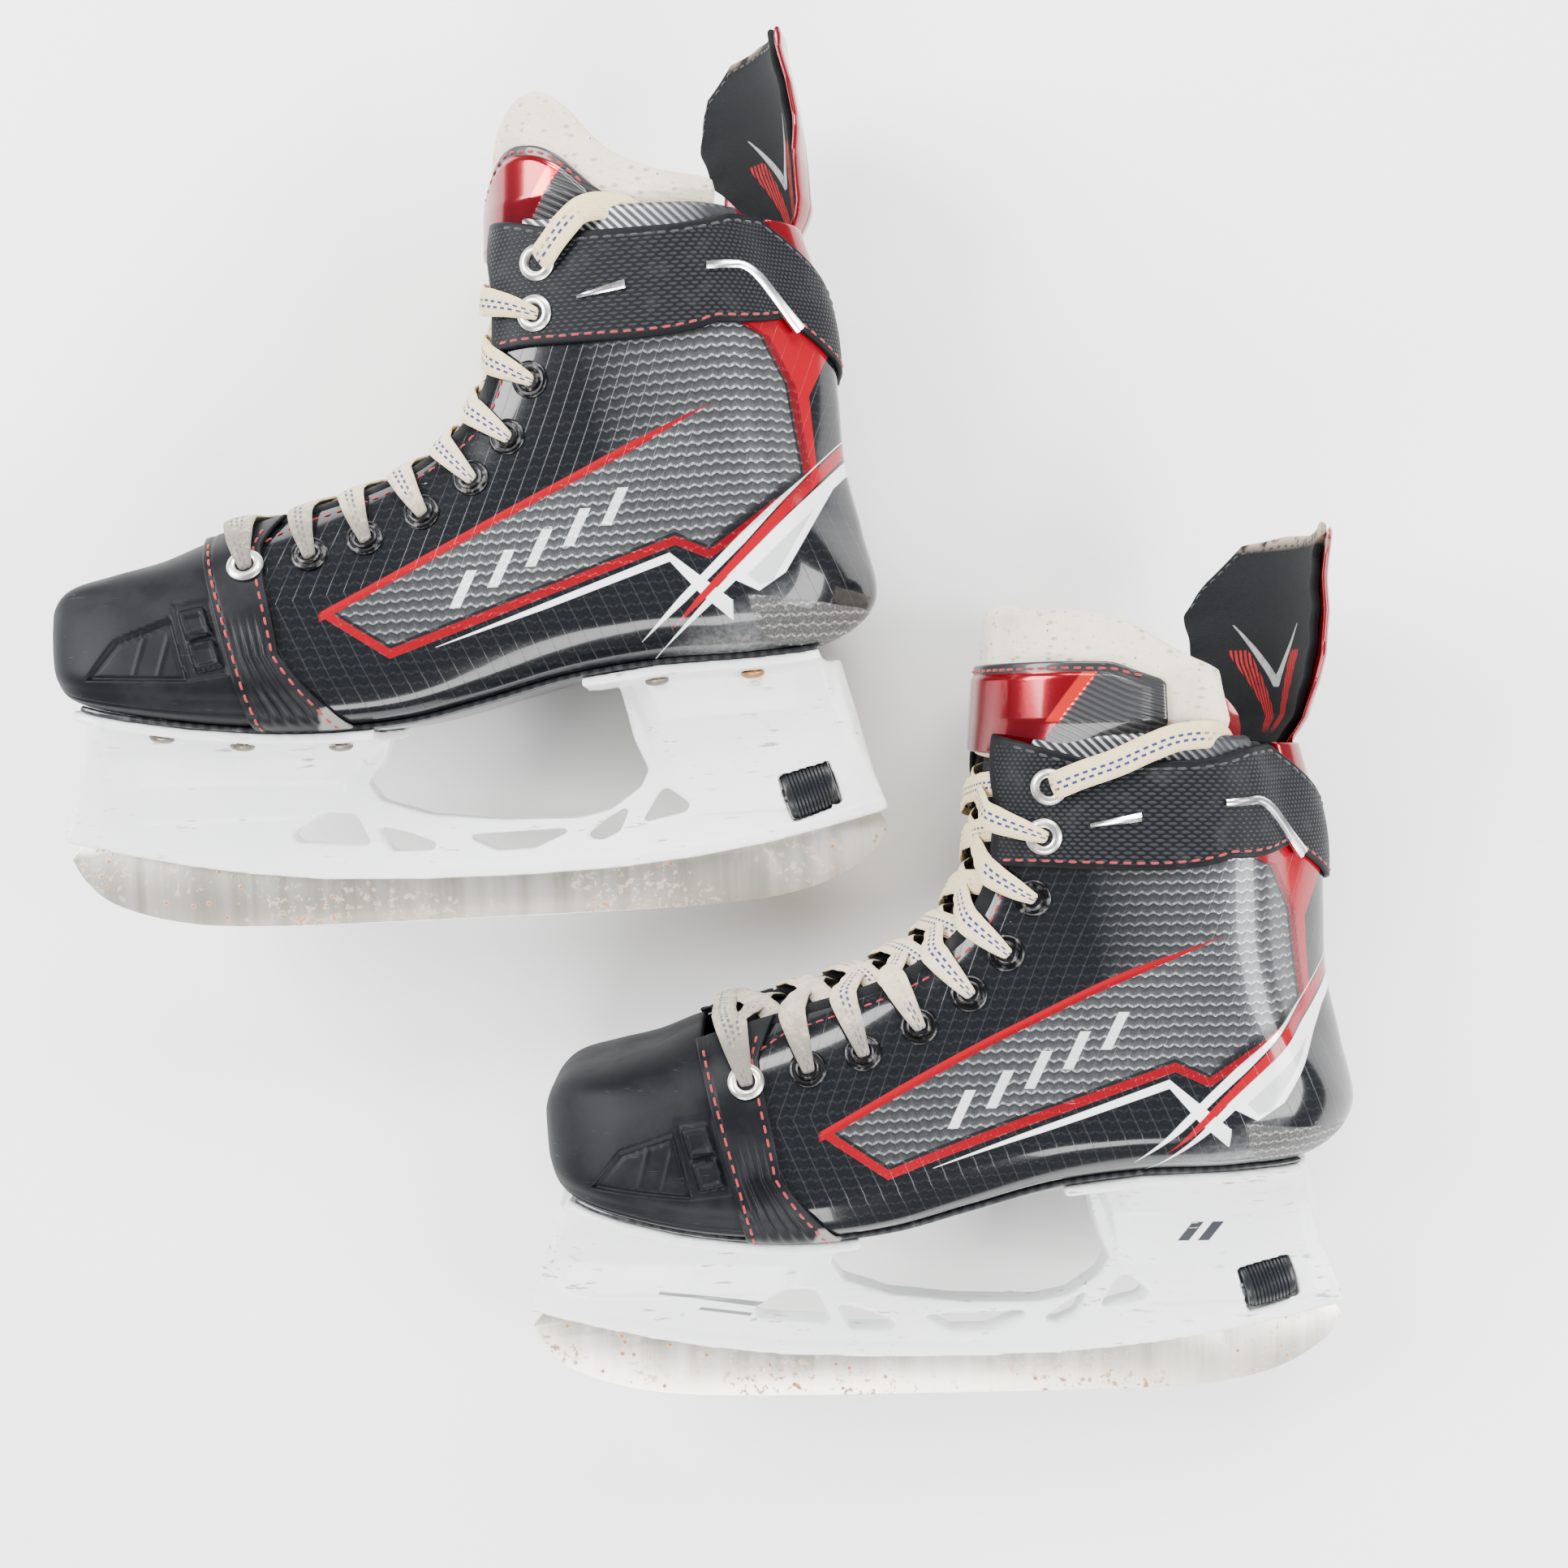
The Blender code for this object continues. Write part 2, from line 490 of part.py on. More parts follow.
def runner_root(x):
    """Height of the steel hidden in the holder at x: shallower under the lock wheel."""
    return np.interp(x, *np.array(RAIL_BOTTOM[::-1]).T) + (3.6 if x > -97 else 2.2)


def build_runner(skate):
    pin_x, _, pin_z = wheel_line(BOLT_REACH)
    notch = (pin_x + PIN_SLACK + 2.0, pin_x - 2.0)
    post = [(notch[0] + 3.5, 42), (notch[0], 42), (notch[0], pin_z - 2.2), (notch[1], pin_z - 2.2), (notch[1], 38.5),
            (notch[1] - 3, 38.5)]
    tab = [(118, 44), (106, 44)]
    edge = [(136, 34)] + [(118, runner_root(118))] + tab + [(106, runner_root(106))]
    edge += [(x, runner_root(x)) for x, _ in RAIL_BOTTOM if post[0][0] < x < 106]
    edge += [(post[0][0], runner_root(post[0][0]))] + post + [(post[-1][0], runner_root(post[-1][0]))]
    edge += [(x, runner_root(x)) for x, _ in RAIL_BOTTOM if -135 < x < post[-1][0]] + [(-138, 33)]
    skate.prism("runner", edge + RUNNER_BOTTOM[::-1], -STEEL / 2, STEEL / 2, "steel")

    half = STEEL / 2 + 0.35
    stops = {118, 106, post[0][0], post[-1][0]} | {x for x, _ in RAIL_BOTTOM if -135 < x < 118}
    rail = [(146, 38)] + [(x, runner_root(x) + 0.6) for x in sorted(stops, reverse=True)] + [(-147, 37)]
    rooms = [skate.prism("slot", rail + [(-150, -5), (150, -5)], -half, half)]
    for front, back, top in ((tab[0][0], tab[1][0], 44.6), (post[0][0], post[-1][0], 42.6)):
        outline = [(front + 0.6, top), (back - 0.6, top), (back - 0.6, 10), (front + 0.6, 10)]
        rooms.append(skate.prism("slot", outline, -half, half))
    return rooms


def tower_ring(x_front, x_back, half, z_front, z_back, sides=2.2):
    """A rounded rectangle at one level of a tower."""
    ring = []
    for i in range(16):
        a = 2 * math.pi * (i + 0.5) / 16
        c, s = math.cos(a), math.sin(a)
        px = math.copysign(abs(c) ** (2 / (sides + 2.5)), c)
        py = math.copysign(abs(s) ** (2 / (sides + 1.2)), s)
        share = (px + 1) / 2
        ring.append((x_back + (x_front - x_back) * share, half * py, z_back + (z_front - z_back) * share))
    return ring


def build_holder(skate, outsole, slots):
    front_edge = [(139, 44), (133, 67)]
    rear_edge = [(-136, 50), (-126.5, 82)]
    roof = [(120, 70), (60, 64), (29, 65)]
    rear_roof = [(-50, 80), (-90, 84)]
    outline = RAIL_BOTTOM[::-1] + front_edge + roof + BRIDGE_TOP + rear_roof + rear_edge[::-1]
    holder = skate.prism("holder", outline, -RAIL_HALF, RAIL_HALF, "holder")
    pieces = [
        skate.loft("front_tower", [
            tower_ring(139.5, 44.0, RAIL_HALF + 0.8, 39, 38),
            tower_ring(137.5, 42.5, 9.5, 52, 50),
            tower_ring(134.5, 36.0, 15.0, 62.5, 59),
            tower_ring(131.5, 29.5, 26.0, 73.5, 66.5),
        ]),
        skate.loft("rear_tower", [
            tower_ring(-63, -141, TOWER_HALF - 0.8, 33, 34),
            tower_ring(-60, -137.5, TOWER_HALF, 47, 48),
            tower_ring(-56.5, -132, 10.5, 66, 69),
            tower_ring(-51.5, -127.5, 18.0, 81, 85),
        ]),
    ]
    low = GAP + OUTSOLE + GAP
    flange_us = [-0.98, -0.5, 0, 0.5, 0.98]
    for piece, first, last in (("front_flange", 2.45, 7.5), ("rear_flange", 10.1, 12.78)):
        stations = [first] + [t for t in SOLE_STATIONS if first < t < last] + [last]
        pieces.append(skate.layer(piece, stations, flange_us, low - 1.2, low + FLANGE, None, cutter=True))
    combine(holder, pieces, "UNION")
    sole = [2.2] + SOLE_STATIONS + [13.2]
    boot_room = skate.layer("boot_room", sole, [-1.6, -1, -0.5, 0, 0.5, 1, 1.6], -6, low, None, cutter=True)
    pockets = [  # the towers are hollow and open under the sole
        skate.loft("pocket", [tower_ring(129, 49, 3.4, 49, 48), tower_ring(126, 42, 15, 84, 80)]),
        skate.loft("pocket", [tower_ring(-66, -127, 5.5, 57, 58), tower_ring(-62, -122, 11, 96, 98)]),
    ]
    combine(holder, [boot_room], "DIFFERENCE")
    combine(holder, pockets, "DIFFERENCE")

    axis = Vector(wheel_line(0)) - Vector(wheel_line(1))
    cuts = list(slots)
    for n, window in enumerate(WINDOWS):
        cuts.append(skate.prism(f"window_{n}", window, -20, 20))
    half = WHEEL_LENGTH / 2 + 0.7
    cuts.append(skate.turned("wheel_room", [(WHEEL_R + 0.6, 0), (WHEEL_R + 0.6, 2 * half)], wheel_line(half), axis,
                             sides=24))
    reach = BOLT_REACH + 10
    cuts.append(skate.turned("screw_bore", [(BOLT_R + 0.4, 0), (BOLT_R + 0.4, reach + 14)], wheel_line(reach - 8),
                             axis, sides=12))
    fork = [wheel_line(BOLT_REACH + 3.5 + PIN_SLACK), wheel_line(BOLT_REACH - 13.5)]
    rings = []
    for x, _, z in fork:
        rings.append([(x, y, z + dz) for y, dz in ((-4.2, -3.3), (4.2, -3.3), (4.2, 3.3), (-4.2, 3.3))])
    cuts.append(skate.loft("fork_room", rings))
    for n, (t, u) in enumerate(RIVETS):
        for side in (-1, 1):
            at = offset_boot(np.array(t), np.array(side * u), np.array(low + FLANGE + 4))
            top = offset_boot(np.array(t), np.array(side * u), np.array(0.2))
            depth = float(np.linalg.norm(top - at))
            room = [(RIVET_HEAD_R + 0.5, 0), (RIVET_HEAD_R + 0.5, 4.0), (RIVET_SHANK_R + 0.35, 4.001),
                    (RIVET_SHANK_R + 0.35, depth)]
            cuts.append(skate.turned(f"rivet_room_{n}_{side}", room, at, top - at, sides=8))
    drills = []
    for t, u in RIVETS:
        for side in (-1, 1):
            at = offset_boot(np.array(t), np.array(side * u), np.array(low))
            top = offset_boot(np.array(t), np.array(side * u), np.array(0.0))
            drills.append(skate.turned("drill", [(RIVET_SHANK_R + 0.35, 0), (RIVET_SHANK_R + 0.35, 6)], at, top - at,
                                       sides=8))
    combine(holder, cuts, "DIFFERENCE")
    combine(outsole, drills, "DIFFERENCE")
    for (t, u), name in zip(RIVETS, RIVET_NAMES):
        for side, label in ((1, "lateral"), (-1, "medial")):
            at = offset_boot(np.array(t), np.array(side * u), np.array(low + FLANGE + 1.7))
            top = offset_boot(np.array(t), np.array(side * u), np.array(0.35))
            length = float(np.linalg.norm(top - at))
            profile = [(RIVET_HEAD_R - 1.4, 0), (RIVET_HEAD_R, 0.8), (RIVET_HEAD_R, 1.4), (RIVET_SHANK_R, 1.401),
                       (RIVET_SHANK_R, length)]
            skate.turned(f"rivet_{name}_{label}", profile, at, top - at, "eyelet", sides=8)


def build_lock(skate):
    axis = Vector(wheel_line(0)) - Vector(wheel_line(1))
    half = WHEEL_LENGTH / 2
    barrel = [(WHEEL_R - 1.5, 0), (WHEEL_R - 0.5, 1.2), (WHEEL_R, half), (WHEEL_R - 0.5, 2 * half - 1.2),
              (WHEEL_R - 1.5, 2 * half)]
    wheel = skate.turned("lock_wheel", barrel, wheel_line(half), axis, "cap", sides=18)
    drill = skate.turned("drill", [(BOLT_R + 0.25, -1), (BOLT_R + 0.25, 2 * half + 1)], wheel_line(half), axis,
                         sides=12)
    combine(wheel, [drill], "DIFFERENCE")

    screw = skate.turned("lock_screw", [(BOLT_R, 0), (BOLT_R, BOLT_REACH - 2)], wheel_line(BOLT_REACH - 11), axis,
                         "steel", sides=12)
    rings = []
    for forward in (BOLT_REACH + 3.0, BOLT_REACH - 12.5):
        x, _, z = wheel_line(forward)
        rings.append([(x, y, z + dz) for y, dz in ((-3.8, -2.2), (3.8, -2.2), (3.8, 2.2), (-3.8, 2.2))])
    fork = skate.loft("fork", rings)
    combine(screw, [fork], "UNION")
    rings = []
    for forward in (BOLT_REACH + 9.0, BOLT_REACH - 9.6):
        x, _, z = wheel_line(forward)
        rings.append([(x, y, z + dz) for y, dz in ((-1.9, -9), (1.9, -9), (1.9, 9), (-1.9, 9))])
    slit = skate.loft("slit", rings)
    combine(screw, [slit], "DIFFERENCE")
    x, _, z = wheel_line(BOLT_REACH)
    pin = skate.turned("pin", [(1.5, 0), (1.5, 7.0)], (x, -3.5, z), (0, 1, 0), sides=10)
    combine(screw, [pin], "UNION")


def lay_down(skate, place, turn, up):
    """Rests the skate on its right side: its direction up points up, its toe towards -X and its cuff towards +Y."""
    up = Vector(up).normalized()
    along = Vector((-1, 0, 0))
    along = (along - up * along.dot(up)).normalized()
    lying = Matrix((along, up.cross(along), up)).to_4x4()
    skate.frame.matrix_world = Matrix.Rotation(math.radians(turn), 4, "Z") @ lying
    low = min(z for piece in skate.pieces() for _, _, z in piece)
    move = Matrix.Translation((place[0] * MM, place[1] * MM, -low))
    skate.frame.matrix_world = move @ skate.frame.matrix_world


def clear_scene():
    for obj in list(bpy.data.objects):
        bpy.data.objects.remove(obj, do_unlink=True)


def make_collection(name):
    made = bpy.data.collections.new(name)
    bpy.context.scene.collection.children.link(made)
    return made


clear_scene()
PARTS = make_collection("hockey skates")
CUTTERS = make_collection("cutters")
MATERIALS = {name: material(name) for name in COLOURS}
skates = []
for name, side in (("left", 1), ("right", -1)):
    skate = Skate(name, side)
    outsole = build_boot(skate)
    build_tongue(skate)
    build_tendon_guard(skate)
    build_laces_and_eyelets(skate)
    slots = build_runner(skate)
    build_holder(skate, outsole, slots)
    build_lock(skate)
    lay_down(skate, *LYING[name])
    skates.append(skate)
points = np.array([point for skate in skates for piece in skate.pieces() for point in piece])
middle = (points.min(0) + points.max(0)) / 2
for skate in skates:  # the frame's origin is on the table, under the middle of the pair
    skate.frame.matrix_world = Matrix.Translation((-middle[0], -middle[1], 0)) @ skate.frame.matrix_world
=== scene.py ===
"""Looks of the pair of ice hockey skates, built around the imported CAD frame.

Each skate is drawn in the left skate's own frame, in millimetres: x towards the toe, y to the skate's
left and z up from the ice. The right skate is its mirror image. Every piece keeps those coordinates in the
attribute "at", which the materials read, so that prints and grain stay on the piece when it moves.
"""

import json
import math

import bmesh
import bpy
import numpy as np
from mathutils import Matrix, Vector

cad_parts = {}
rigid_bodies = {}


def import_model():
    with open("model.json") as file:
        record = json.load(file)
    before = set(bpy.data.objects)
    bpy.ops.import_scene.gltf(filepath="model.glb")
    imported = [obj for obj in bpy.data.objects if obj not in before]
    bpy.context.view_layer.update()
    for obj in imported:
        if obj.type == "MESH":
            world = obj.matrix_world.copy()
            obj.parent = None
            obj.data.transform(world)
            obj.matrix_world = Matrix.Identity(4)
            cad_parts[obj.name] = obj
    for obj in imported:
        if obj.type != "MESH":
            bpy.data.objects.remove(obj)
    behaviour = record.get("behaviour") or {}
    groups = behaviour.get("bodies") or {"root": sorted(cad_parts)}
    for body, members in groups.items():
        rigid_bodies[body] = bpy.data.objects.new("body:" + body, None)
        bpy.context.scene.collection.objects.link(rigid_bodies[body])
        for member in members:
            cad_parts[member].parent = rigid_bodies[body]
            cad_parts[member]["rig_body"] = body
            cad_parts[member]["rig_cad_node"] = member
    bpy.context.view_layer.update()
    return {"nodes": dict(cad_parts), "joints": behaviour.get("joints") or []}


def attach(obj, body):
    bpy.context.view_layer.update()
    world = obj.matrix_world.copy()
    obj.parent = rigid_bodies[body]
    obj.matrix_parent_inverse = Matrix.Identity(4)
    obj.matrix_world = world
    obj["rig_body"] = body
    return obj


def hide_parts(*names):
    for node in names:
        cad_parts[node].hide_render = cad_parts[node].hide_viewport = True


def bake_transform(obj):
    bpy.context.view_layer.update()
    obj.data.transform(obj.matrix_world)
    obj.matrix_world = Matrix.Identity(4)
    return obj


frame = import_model()
JOINTS = {joint["name"]: joint for joint in frame["joints"]}
MM = 0.001

# ---------------------------------------------------------------- sizes shared with the CAD, in millimetres
GAP = 0.4
SHELL = 2.4
TOE_CAP = 2.5
LINER = 5.4
STRAP = 1.7
OUTSOLE = 1.9
FLANGE = 3.4
EYELET_R = 5.6
EYELET_HOLE_R = 2.9
WHEEL_AT = (-114.7, 40.4)
WHEEL_R = 9.6
WHEEL_LENGTH = 17.5
WHEEL_TILT = math.radians(17)
BOLT_R = 2.4
BOLT_REACH = 25.0
PIN_SLACK = 3.2
TONGUE_HINGE = (-15.0, 236.5)
GUARD_HINGE = (-121.0, 232.5)
GUARD_TWIST = math.radians(20)
GUARD_LEAN = {"left": 0.0, "right": math.tan(math.radians(9))}

# Boot stations from the toe to the cuff: ax, az, bx, bz, half, sole, throat, shift, full
STATIONS = np.array([
    (134.5, 92.0, 135.5, 100.0, 9.0, 6.0, 6.0, 5.0, 0.96),
    (132.0, 86.0, 134.5, 107.5, 22.0, 16.0, 14.0, 5.0, 0.96),
    (128.0, 82.0, 131.5, 113.5, 32.0, 24.0, 20.0, 4.5, 0.97),
    (120.5, 79.0, 125.0, 118.0, 39.0, 31.0, 25.0, 3.5, 0.98),
    (108.0, 76.0, 112.0, 121.5, 44.0, 35.0, 27.0, 1.5, 0.98),
    (87.5, 72.5, 97.0, 125.5, 46.5, 38.0, 26.0, -0.5, 1.0),
    (66.0, 70.0, 82.5, 131.5, 47.0, 38.0, 23.5, -1.5, 1.0),
    (41.5, 69.3, 65.5, 136.5, 45.5, 36.0, 21.5, -2.0, 1.0),
    (17.5, 71.0, 46.5, 142.0, 43.5, 33.0, 21.0, -1.5, 0.98),
    (-7.0, 76.3, 29.0, 147.0, 41.5, 30.0, 21.5, -0.8, 0.97),
    (-36.0, 83.3, 15.0, 152.5, 41.0, 29.0, 22.5, 0.0, 0.98),
    (-66.0, 87.0, 5.0, 158.5, 41.5, 29.0, 23.5, 0.0, 1.0),
    (-97.0, 88.0, -2.5, 164.5, 42.0, 29.0, 24.5, 0.0, 1.01),
    (-124.0, 91.5, -8.5, 171.5, 42.0, 26.0, 25.0, 0.0, 0.99),
    (-139.5, 105.0, -13.0, 180.0, 42.5, 20.0, 25.5, 0.0, 0.9),
    (-136.0, 128.0, -15.5, 189.0, 43.5, 17.0, 26.0, 0.0, 0.75),
    (-131.0, 151.0, -16.5, 199.0, 44.5, 16.0, 26.0, 0.0, 0.72),
    (-129.5, 175.0, -17.0, 209.5, 44.5, 17.0, 26.0, 0.0, 0.72),
    (-127.5, 200.0, -17.5, 220.5, 44.0, 19.0, 26.0, 0.0, 0.73),
    (-118.5, 228.5, -19.5, 232.5, 44.0, 22.0, 26.0, 0.0, 0.75),
])
LAST = len(STATIONS) - 1.0
STATIONS = np.vstack([STATIONS, 2 * STATIONS[-1] - STATIONS[-2]])  # straight on above the cuff
TOE_SEAM = 6.12
THROAT = 5.0
EYELETS = [(66.5, 121.5), (46.5, 125.5), (28.5, 130), (10, 138), (-6.5, 148.5), (-19, 161.5), (-27.5, 179.5),
           (-31, 200), (-32.5, 216)]
RUNNER_BOTTOM = [(141.5, 27), (137.5, 19.5), (130, 12), (119, 7), (106, 3.4), (90, 1.2), (60, 0.1), (0, 0),
                 (-60, 0.3), (-90, 1.5), (-106, 3.6), (-119, 7), (-130, 12.5), (-138, 19), (-142.5, 26)]
RAIL_BOTTOM = [(142.5, 33.5), (120, 27.5), (100, 23), (80, 19.5), (55, 16.5), (20, 15), (-15, 14.8), (-47, 15.8),
               (-74, 18.3), (-99, 22), (-123, 27.2), (-142.5, 32)]
RIVETS = {"front": (4.45, 0.62), "middle": (5.65, 0.62), "back": (6.95, 0.62), "heel_front": (10.9, 0.6),
          "heel_back": (11.95, 0.6)}
CUFF_TOP = ([0, 0.5, 1, 1.6, 2, 2.6, 3.2, 3.9, 4.5, 5],
            [18.0, 18.15, 18.45, 18.8, 19, 18.95, 18.75, 18.6, 18.85, 19])
CUFF_BOTTOM = ([0, 1, 2, 3, 4, 5], [17.2, 17.35, 17.7, 17.3, 16.05, 15.0])
STRAP_REAR = ([1, 2, 3, 4.3, 5], [7.25, 7.0, 6.75, 7.02, 7.5])
SIDES = ((1, "lateral"), (-1, "medial"))


# ---------------------------------------------------------------- the boot's form, as in the CAD
def between(before, a, b, after, f):
    """Catmull-Rom curve from a to b, read at the share f."""
    bend = 2 * before - 5 * a + 4 * b - after
    return a + 0.5 * f * (b - before + f * (bend + f * (3 * (a - b) + after - before)))


def smooth(knots, at):
    """Catmull-Rom curve through the knots, read at positions counted in knots."""
    knots = np.asarray(knots, float)
    last = len(knots) - 1
    at = np.clip(np.asarray(at, float), 0, last)
    i = np.minimum(at.astype(int), last - 1)
    f = (at - i)[..., None]
    before = np.where(i[..., None] > 0, knots[np.maximum(i - 1, 0)], 2 * knots[i] - knots[i + 1])
    after = np.where((i + 2 <= last)[..., None], knots[np.minimum(i + 2, last)], 2 * knots[i + 1] - knots[i])
    return between(before, knots[i], knots[i + 1], after, f)


def boot(t, u):
    """Outside of the boot at station t and at u: 0 under the sole, 5 at the throat's edge, 6 on the instep."""
    t, u = np.broadcast_arrays(np.asarray(t, float), np.asarray(u, float))
    around = np.where(u > 6, u - 12, np.where(u < -6, u + 12, u))
    left, k = np.where(around < 0, -1.0, 1.0), np.abs(around)
    ax, az, bx, bz, half, sole, throat, shift, full = np.moveaxis(smooth(STATIONS, t), -1, 0)
    zero = np.zeros_like(half)
    along = np.array([0.012, 0, 0.012, 0.16, 0.36, 0.79, 1, 1.03, 1]) + zero[..., None]
    across = np.stack([-sole, zero, sole, full * half, half, 0.85 * half - 0.4, throat, zero, -throat], -1)
    knot = np.minimum(k.astype(int), 5)
    f = k - knot

    s, y = (between(*(np.take_along_axis(table, (knot + n)[..., None], -1)[..., 0] for n in range(4)), f)
            for table in (along, across))
    return np.stack([ax + (bx - ax) * s, left * y - shift, az + (bz - az) * s], -1)


def boot_normal(t, u):
    step = 0.02
    along = boot(np.minimum(t + step, LAST + 1), u) - boot(np.maximum(t - step, 0), u)
    around = boot(t, u + step) - boot(t, u - step)
    return unit(np.cross(along, around))


def offset_boot(t, u, out):
    """The boot's surface moved outwards by out millimetres."""
    t, u = np.broadcast_arrays(np.asarray(t, float), np.asarray(u, float))
    return boot(t, u) + boot_normal(t, u) * (np.asarray(out, float) + 0 * t)[..., None]


SEEN_T, SEEN_U = np.meshgrid(np.linspace(0, LAST, 761), np.linspace(1.0, 5.2, 337), indexing="ij")
SEEN = boot(SEEN_T, SEEN_U)


def place_on_boot(x, z):
    """Station and u of the point of the left side that is seen at (x, z) from the side."""
    best = np.argmin((SEEN[..., 0] - x) ** 2 + (SEEN[..., 2] - z) ** 2)
    return SEEN_T.flat[best], SEEN_U.flat[best]


def cuff_top(u):
    return np.interp(np.abs(u), *CUFF_TOP)


# ---------------------------------------------------------------- materials: a small language for shader nodes
def feed(tree, slot, value):
    """Links a Val or a socket to slot, or sets its plain value."""
    if isinstance(value, Val):
        tree.links.new(value.out, slot)
    elif isinstance(value, bpy.types.NodeSocket):
        tree.links.new(value, slot)
    elif isinstance(value, tuple) and slot.type == "RGBA":
        slot.default_value = (*value, 1)
    else:
        slot.default_value = value


class Val:
    """A number in a shader, with ordinary arithmetic."""

    def __init__(self, tree, out):
        self.tree, self.out = tree, out

    def op(self, name, *others):
        node = self.tree.nodes.new("ShaderNodeMath")
        node.operation = name
        for slot, value in zip(node.inputs, (self, *others)):
            feed(self.tree, slot, value)
        return Val(self.tree, node.outputs[0])

    def __neg__(self):
        return self * -1.0

    def __rsub__(self, other):
        return self * -1.0 + other

    def ramp(self, low, high, to_low=0.0, to_high=1.0):
        """Straight line from (low, to_low) to (high, to_high), level outside."""
        node = self.tree.nodes.new("ShaderNodeMapRange")
        self.tree.links.new(self.out, node.inputs[0])
        if low > high:
            low, high, to_low, to_high = high, low, to_high, to_low
        for slot, value in zip(list(node.inputs)[1:5], (low, high, to_low, to_high)):
            slot.default_value = value
        return Val(self.tree, node.outputs[0])

    def inside(self, soft=0.12):
        """1 where this distance is above nothing, with a thin soft edge."""
        return self.ramp(-soft, soft)

    def curve(self, points):
        """Piecewise straight line through the points, by rising first coordinate."""
        total = points[0][1]
        for (x0, y0), (x1, y1) in zip(points, points[1:]):
            total = self.ramp(x0, x1, 0.0, y1 - y0) + total
        return total

    def triangle(self):
        """Zigzag between 0 and 1 with period 1."""
        return (self.fract() - 0.5).abs() * 2.0


OPERATIONS = {"__add__": "ADD", "__sub__": "SUBTRACT", "__mul__": "MULTIPLY", "__truediv__": "DIVIDE",
              "abs": "ABSOLUTE", "min": "MINIMUM", "max": "MAXIMUM", "fract": "FRACT", "floor": "FLOOR"}
for method, operation in OPERATIONS.items():
    setattr(Val, method, lambda self, *others, name=operation: self.op(name, *others))


class Paint:
    """A node material with one Principled shader."""

    def __init__(self, name, colour=(0.5, 0.5, 0.5), rough=0.5, metal=0.0, **sockets):
        self.material = bpy.data.materials.new(name)
        self.material.use_nodes = True
        self.tree = self.material.node_tree
        self.shader = self.tree.nodes["Principled BSDF"]
        self.set("Base Color", colour)
        self.set("Roughness", rough)
        self.set("Metallic", metal)
        for key, value in sockets.items():
            self.set(key.replace("_", " "), value)
        self.normal = None
        node = self.tree.nodes.new("ShaderNodeAttribute")
        node.attribute_name = "at"
        self.place = node.outputs["Vector"]
        self.x, self.y, self.z = self.split(self.place)
        node = self.tree.nodes.new("ShaderNodeAttribute")
        node.attribute_name = "along"
        self.a, self.b, self.c = self.split(node.outputs["Vector"])

    def split(self, vector):
        node = self.tree.nodes.new("ShaderNodeSeparateXYZ")
        self.tree.links.new(vector, node.inputs[0])
        return [Val(self.tree, out) for out in node.outputs]

    def set(self, name, value):
        feed(self.tree, self.shader.inputs[name], value)
        return self

    def texture(self, kind, size, stretch, seed):
        """A texture node with features of about size millimetres."""
        scaled = self.tree.nodes.new("ShaderNodeVectorMath")
        scaled.operation = "MULTIPLY_ADD"
        self.tree.links.new(self.place, scaled.inputs[0])
        scaled.inputs[1].default_value = [1 / (size * s) for s in stretch]
        scaled.inputs[2].default_value = (seed * 7.3, seed * 3.1, seed * 5.7)
        node = self.tree.nodes.new("ShaderNodeTex" + kind)
        node.inputs["Scale"].default_value = 1.0
        self.tree.links.new(scaled.outputs[0], node.inputs["Vector"])
        return node

    def noise(self, size, detail=2.0, rough=0.5, stretch=(1, 1, 1), seed=0.0):
        """Noise between 0 and 1."""
        node = self.texture("Noise", size, stretch, seed)
        node.inputs["Detail"].default_value = detail
        node.inputs["Roughness"].default_value = rough
        return Val(self.tree, node.outputs["Fac"])

    def cells(self, size, stretch=(1, 1, 1), seed=0.0):
        """Distance to the nearest of scattered points, in cells of size millimetres."""
        return Val(self.tree, self.texture("Voronoi", size, stretch, seed).outputs["Distance"])

    def mix(self, share, first, second):
        """Colour between two colours or colour sockets."""
        node = self.tree.nodes.new("ShaderNodeMix")
        node.data_type = "RGBA"
        for slot, value in ((0, share), (6, first), (7, second)):
            feed(self.tree, node.inputs[slot], value)
        return node.outputs[2]

    def colours(self, base, *layers):
        """Base colour with (share, colour) layers painted over it in turn."""
        for share, colour in layers:
            base = self.mix(share, base, colour)
        return self.set("Base Color", base)

    def bump(self, height, depth=0.3, strength=1.0):
        """height from 0 to 1 stands for depth millimetres."""
        node = self.tree.nodes.new("ShaderNodeBump")
        node.inputs["Distance"].default_value = depth * MM
        node.inputs["Strength"].default_value = strength
        feed(self.tree, node.inputs["Height"], height)
        if self.normal is not None:
            feed(self.tree, node.inputs["Normal"], self.normal)
        self.normal = node.outputs[0]
        return self.set("Normal", self.normal)

    def line(self, p, q):
        """Signed distance in millimetres from the line p to q, seen from the side: positive on its left."""
        dx, dz = q[0] - p[0], q[1] - p[1]
        length = math.hypot(dx, dz)
        return self.x * (-dz / length) + self.z * (dx / length) + (dz * p[0] - dx * p[1]) / length

    def run(self, p, q):
        """Distance travelled from p towards q."""
        dx, dz = q[0] - p[0], q[1] - p[1]
        length = math.hypot(dx, dz)
        return self.x * (dx / length) + self.z * (dz / length) - (dx * p[0] + dz * p[1]) / length

    def stripe(self, p, q, widths, soft=0.12):
        """1 on a straight stripe from p to q whose width follows (share of the length, width) points."""
        length = math.hypot(q[0] - p[0], q[1] - p[1])
        width = self.run(p, q).curve([(share * length, w) for share, w in widths])
        return (width * 0.5 - self.line(p, q).abs()).inside(soft) * (width - 0.02).inside(0.02)

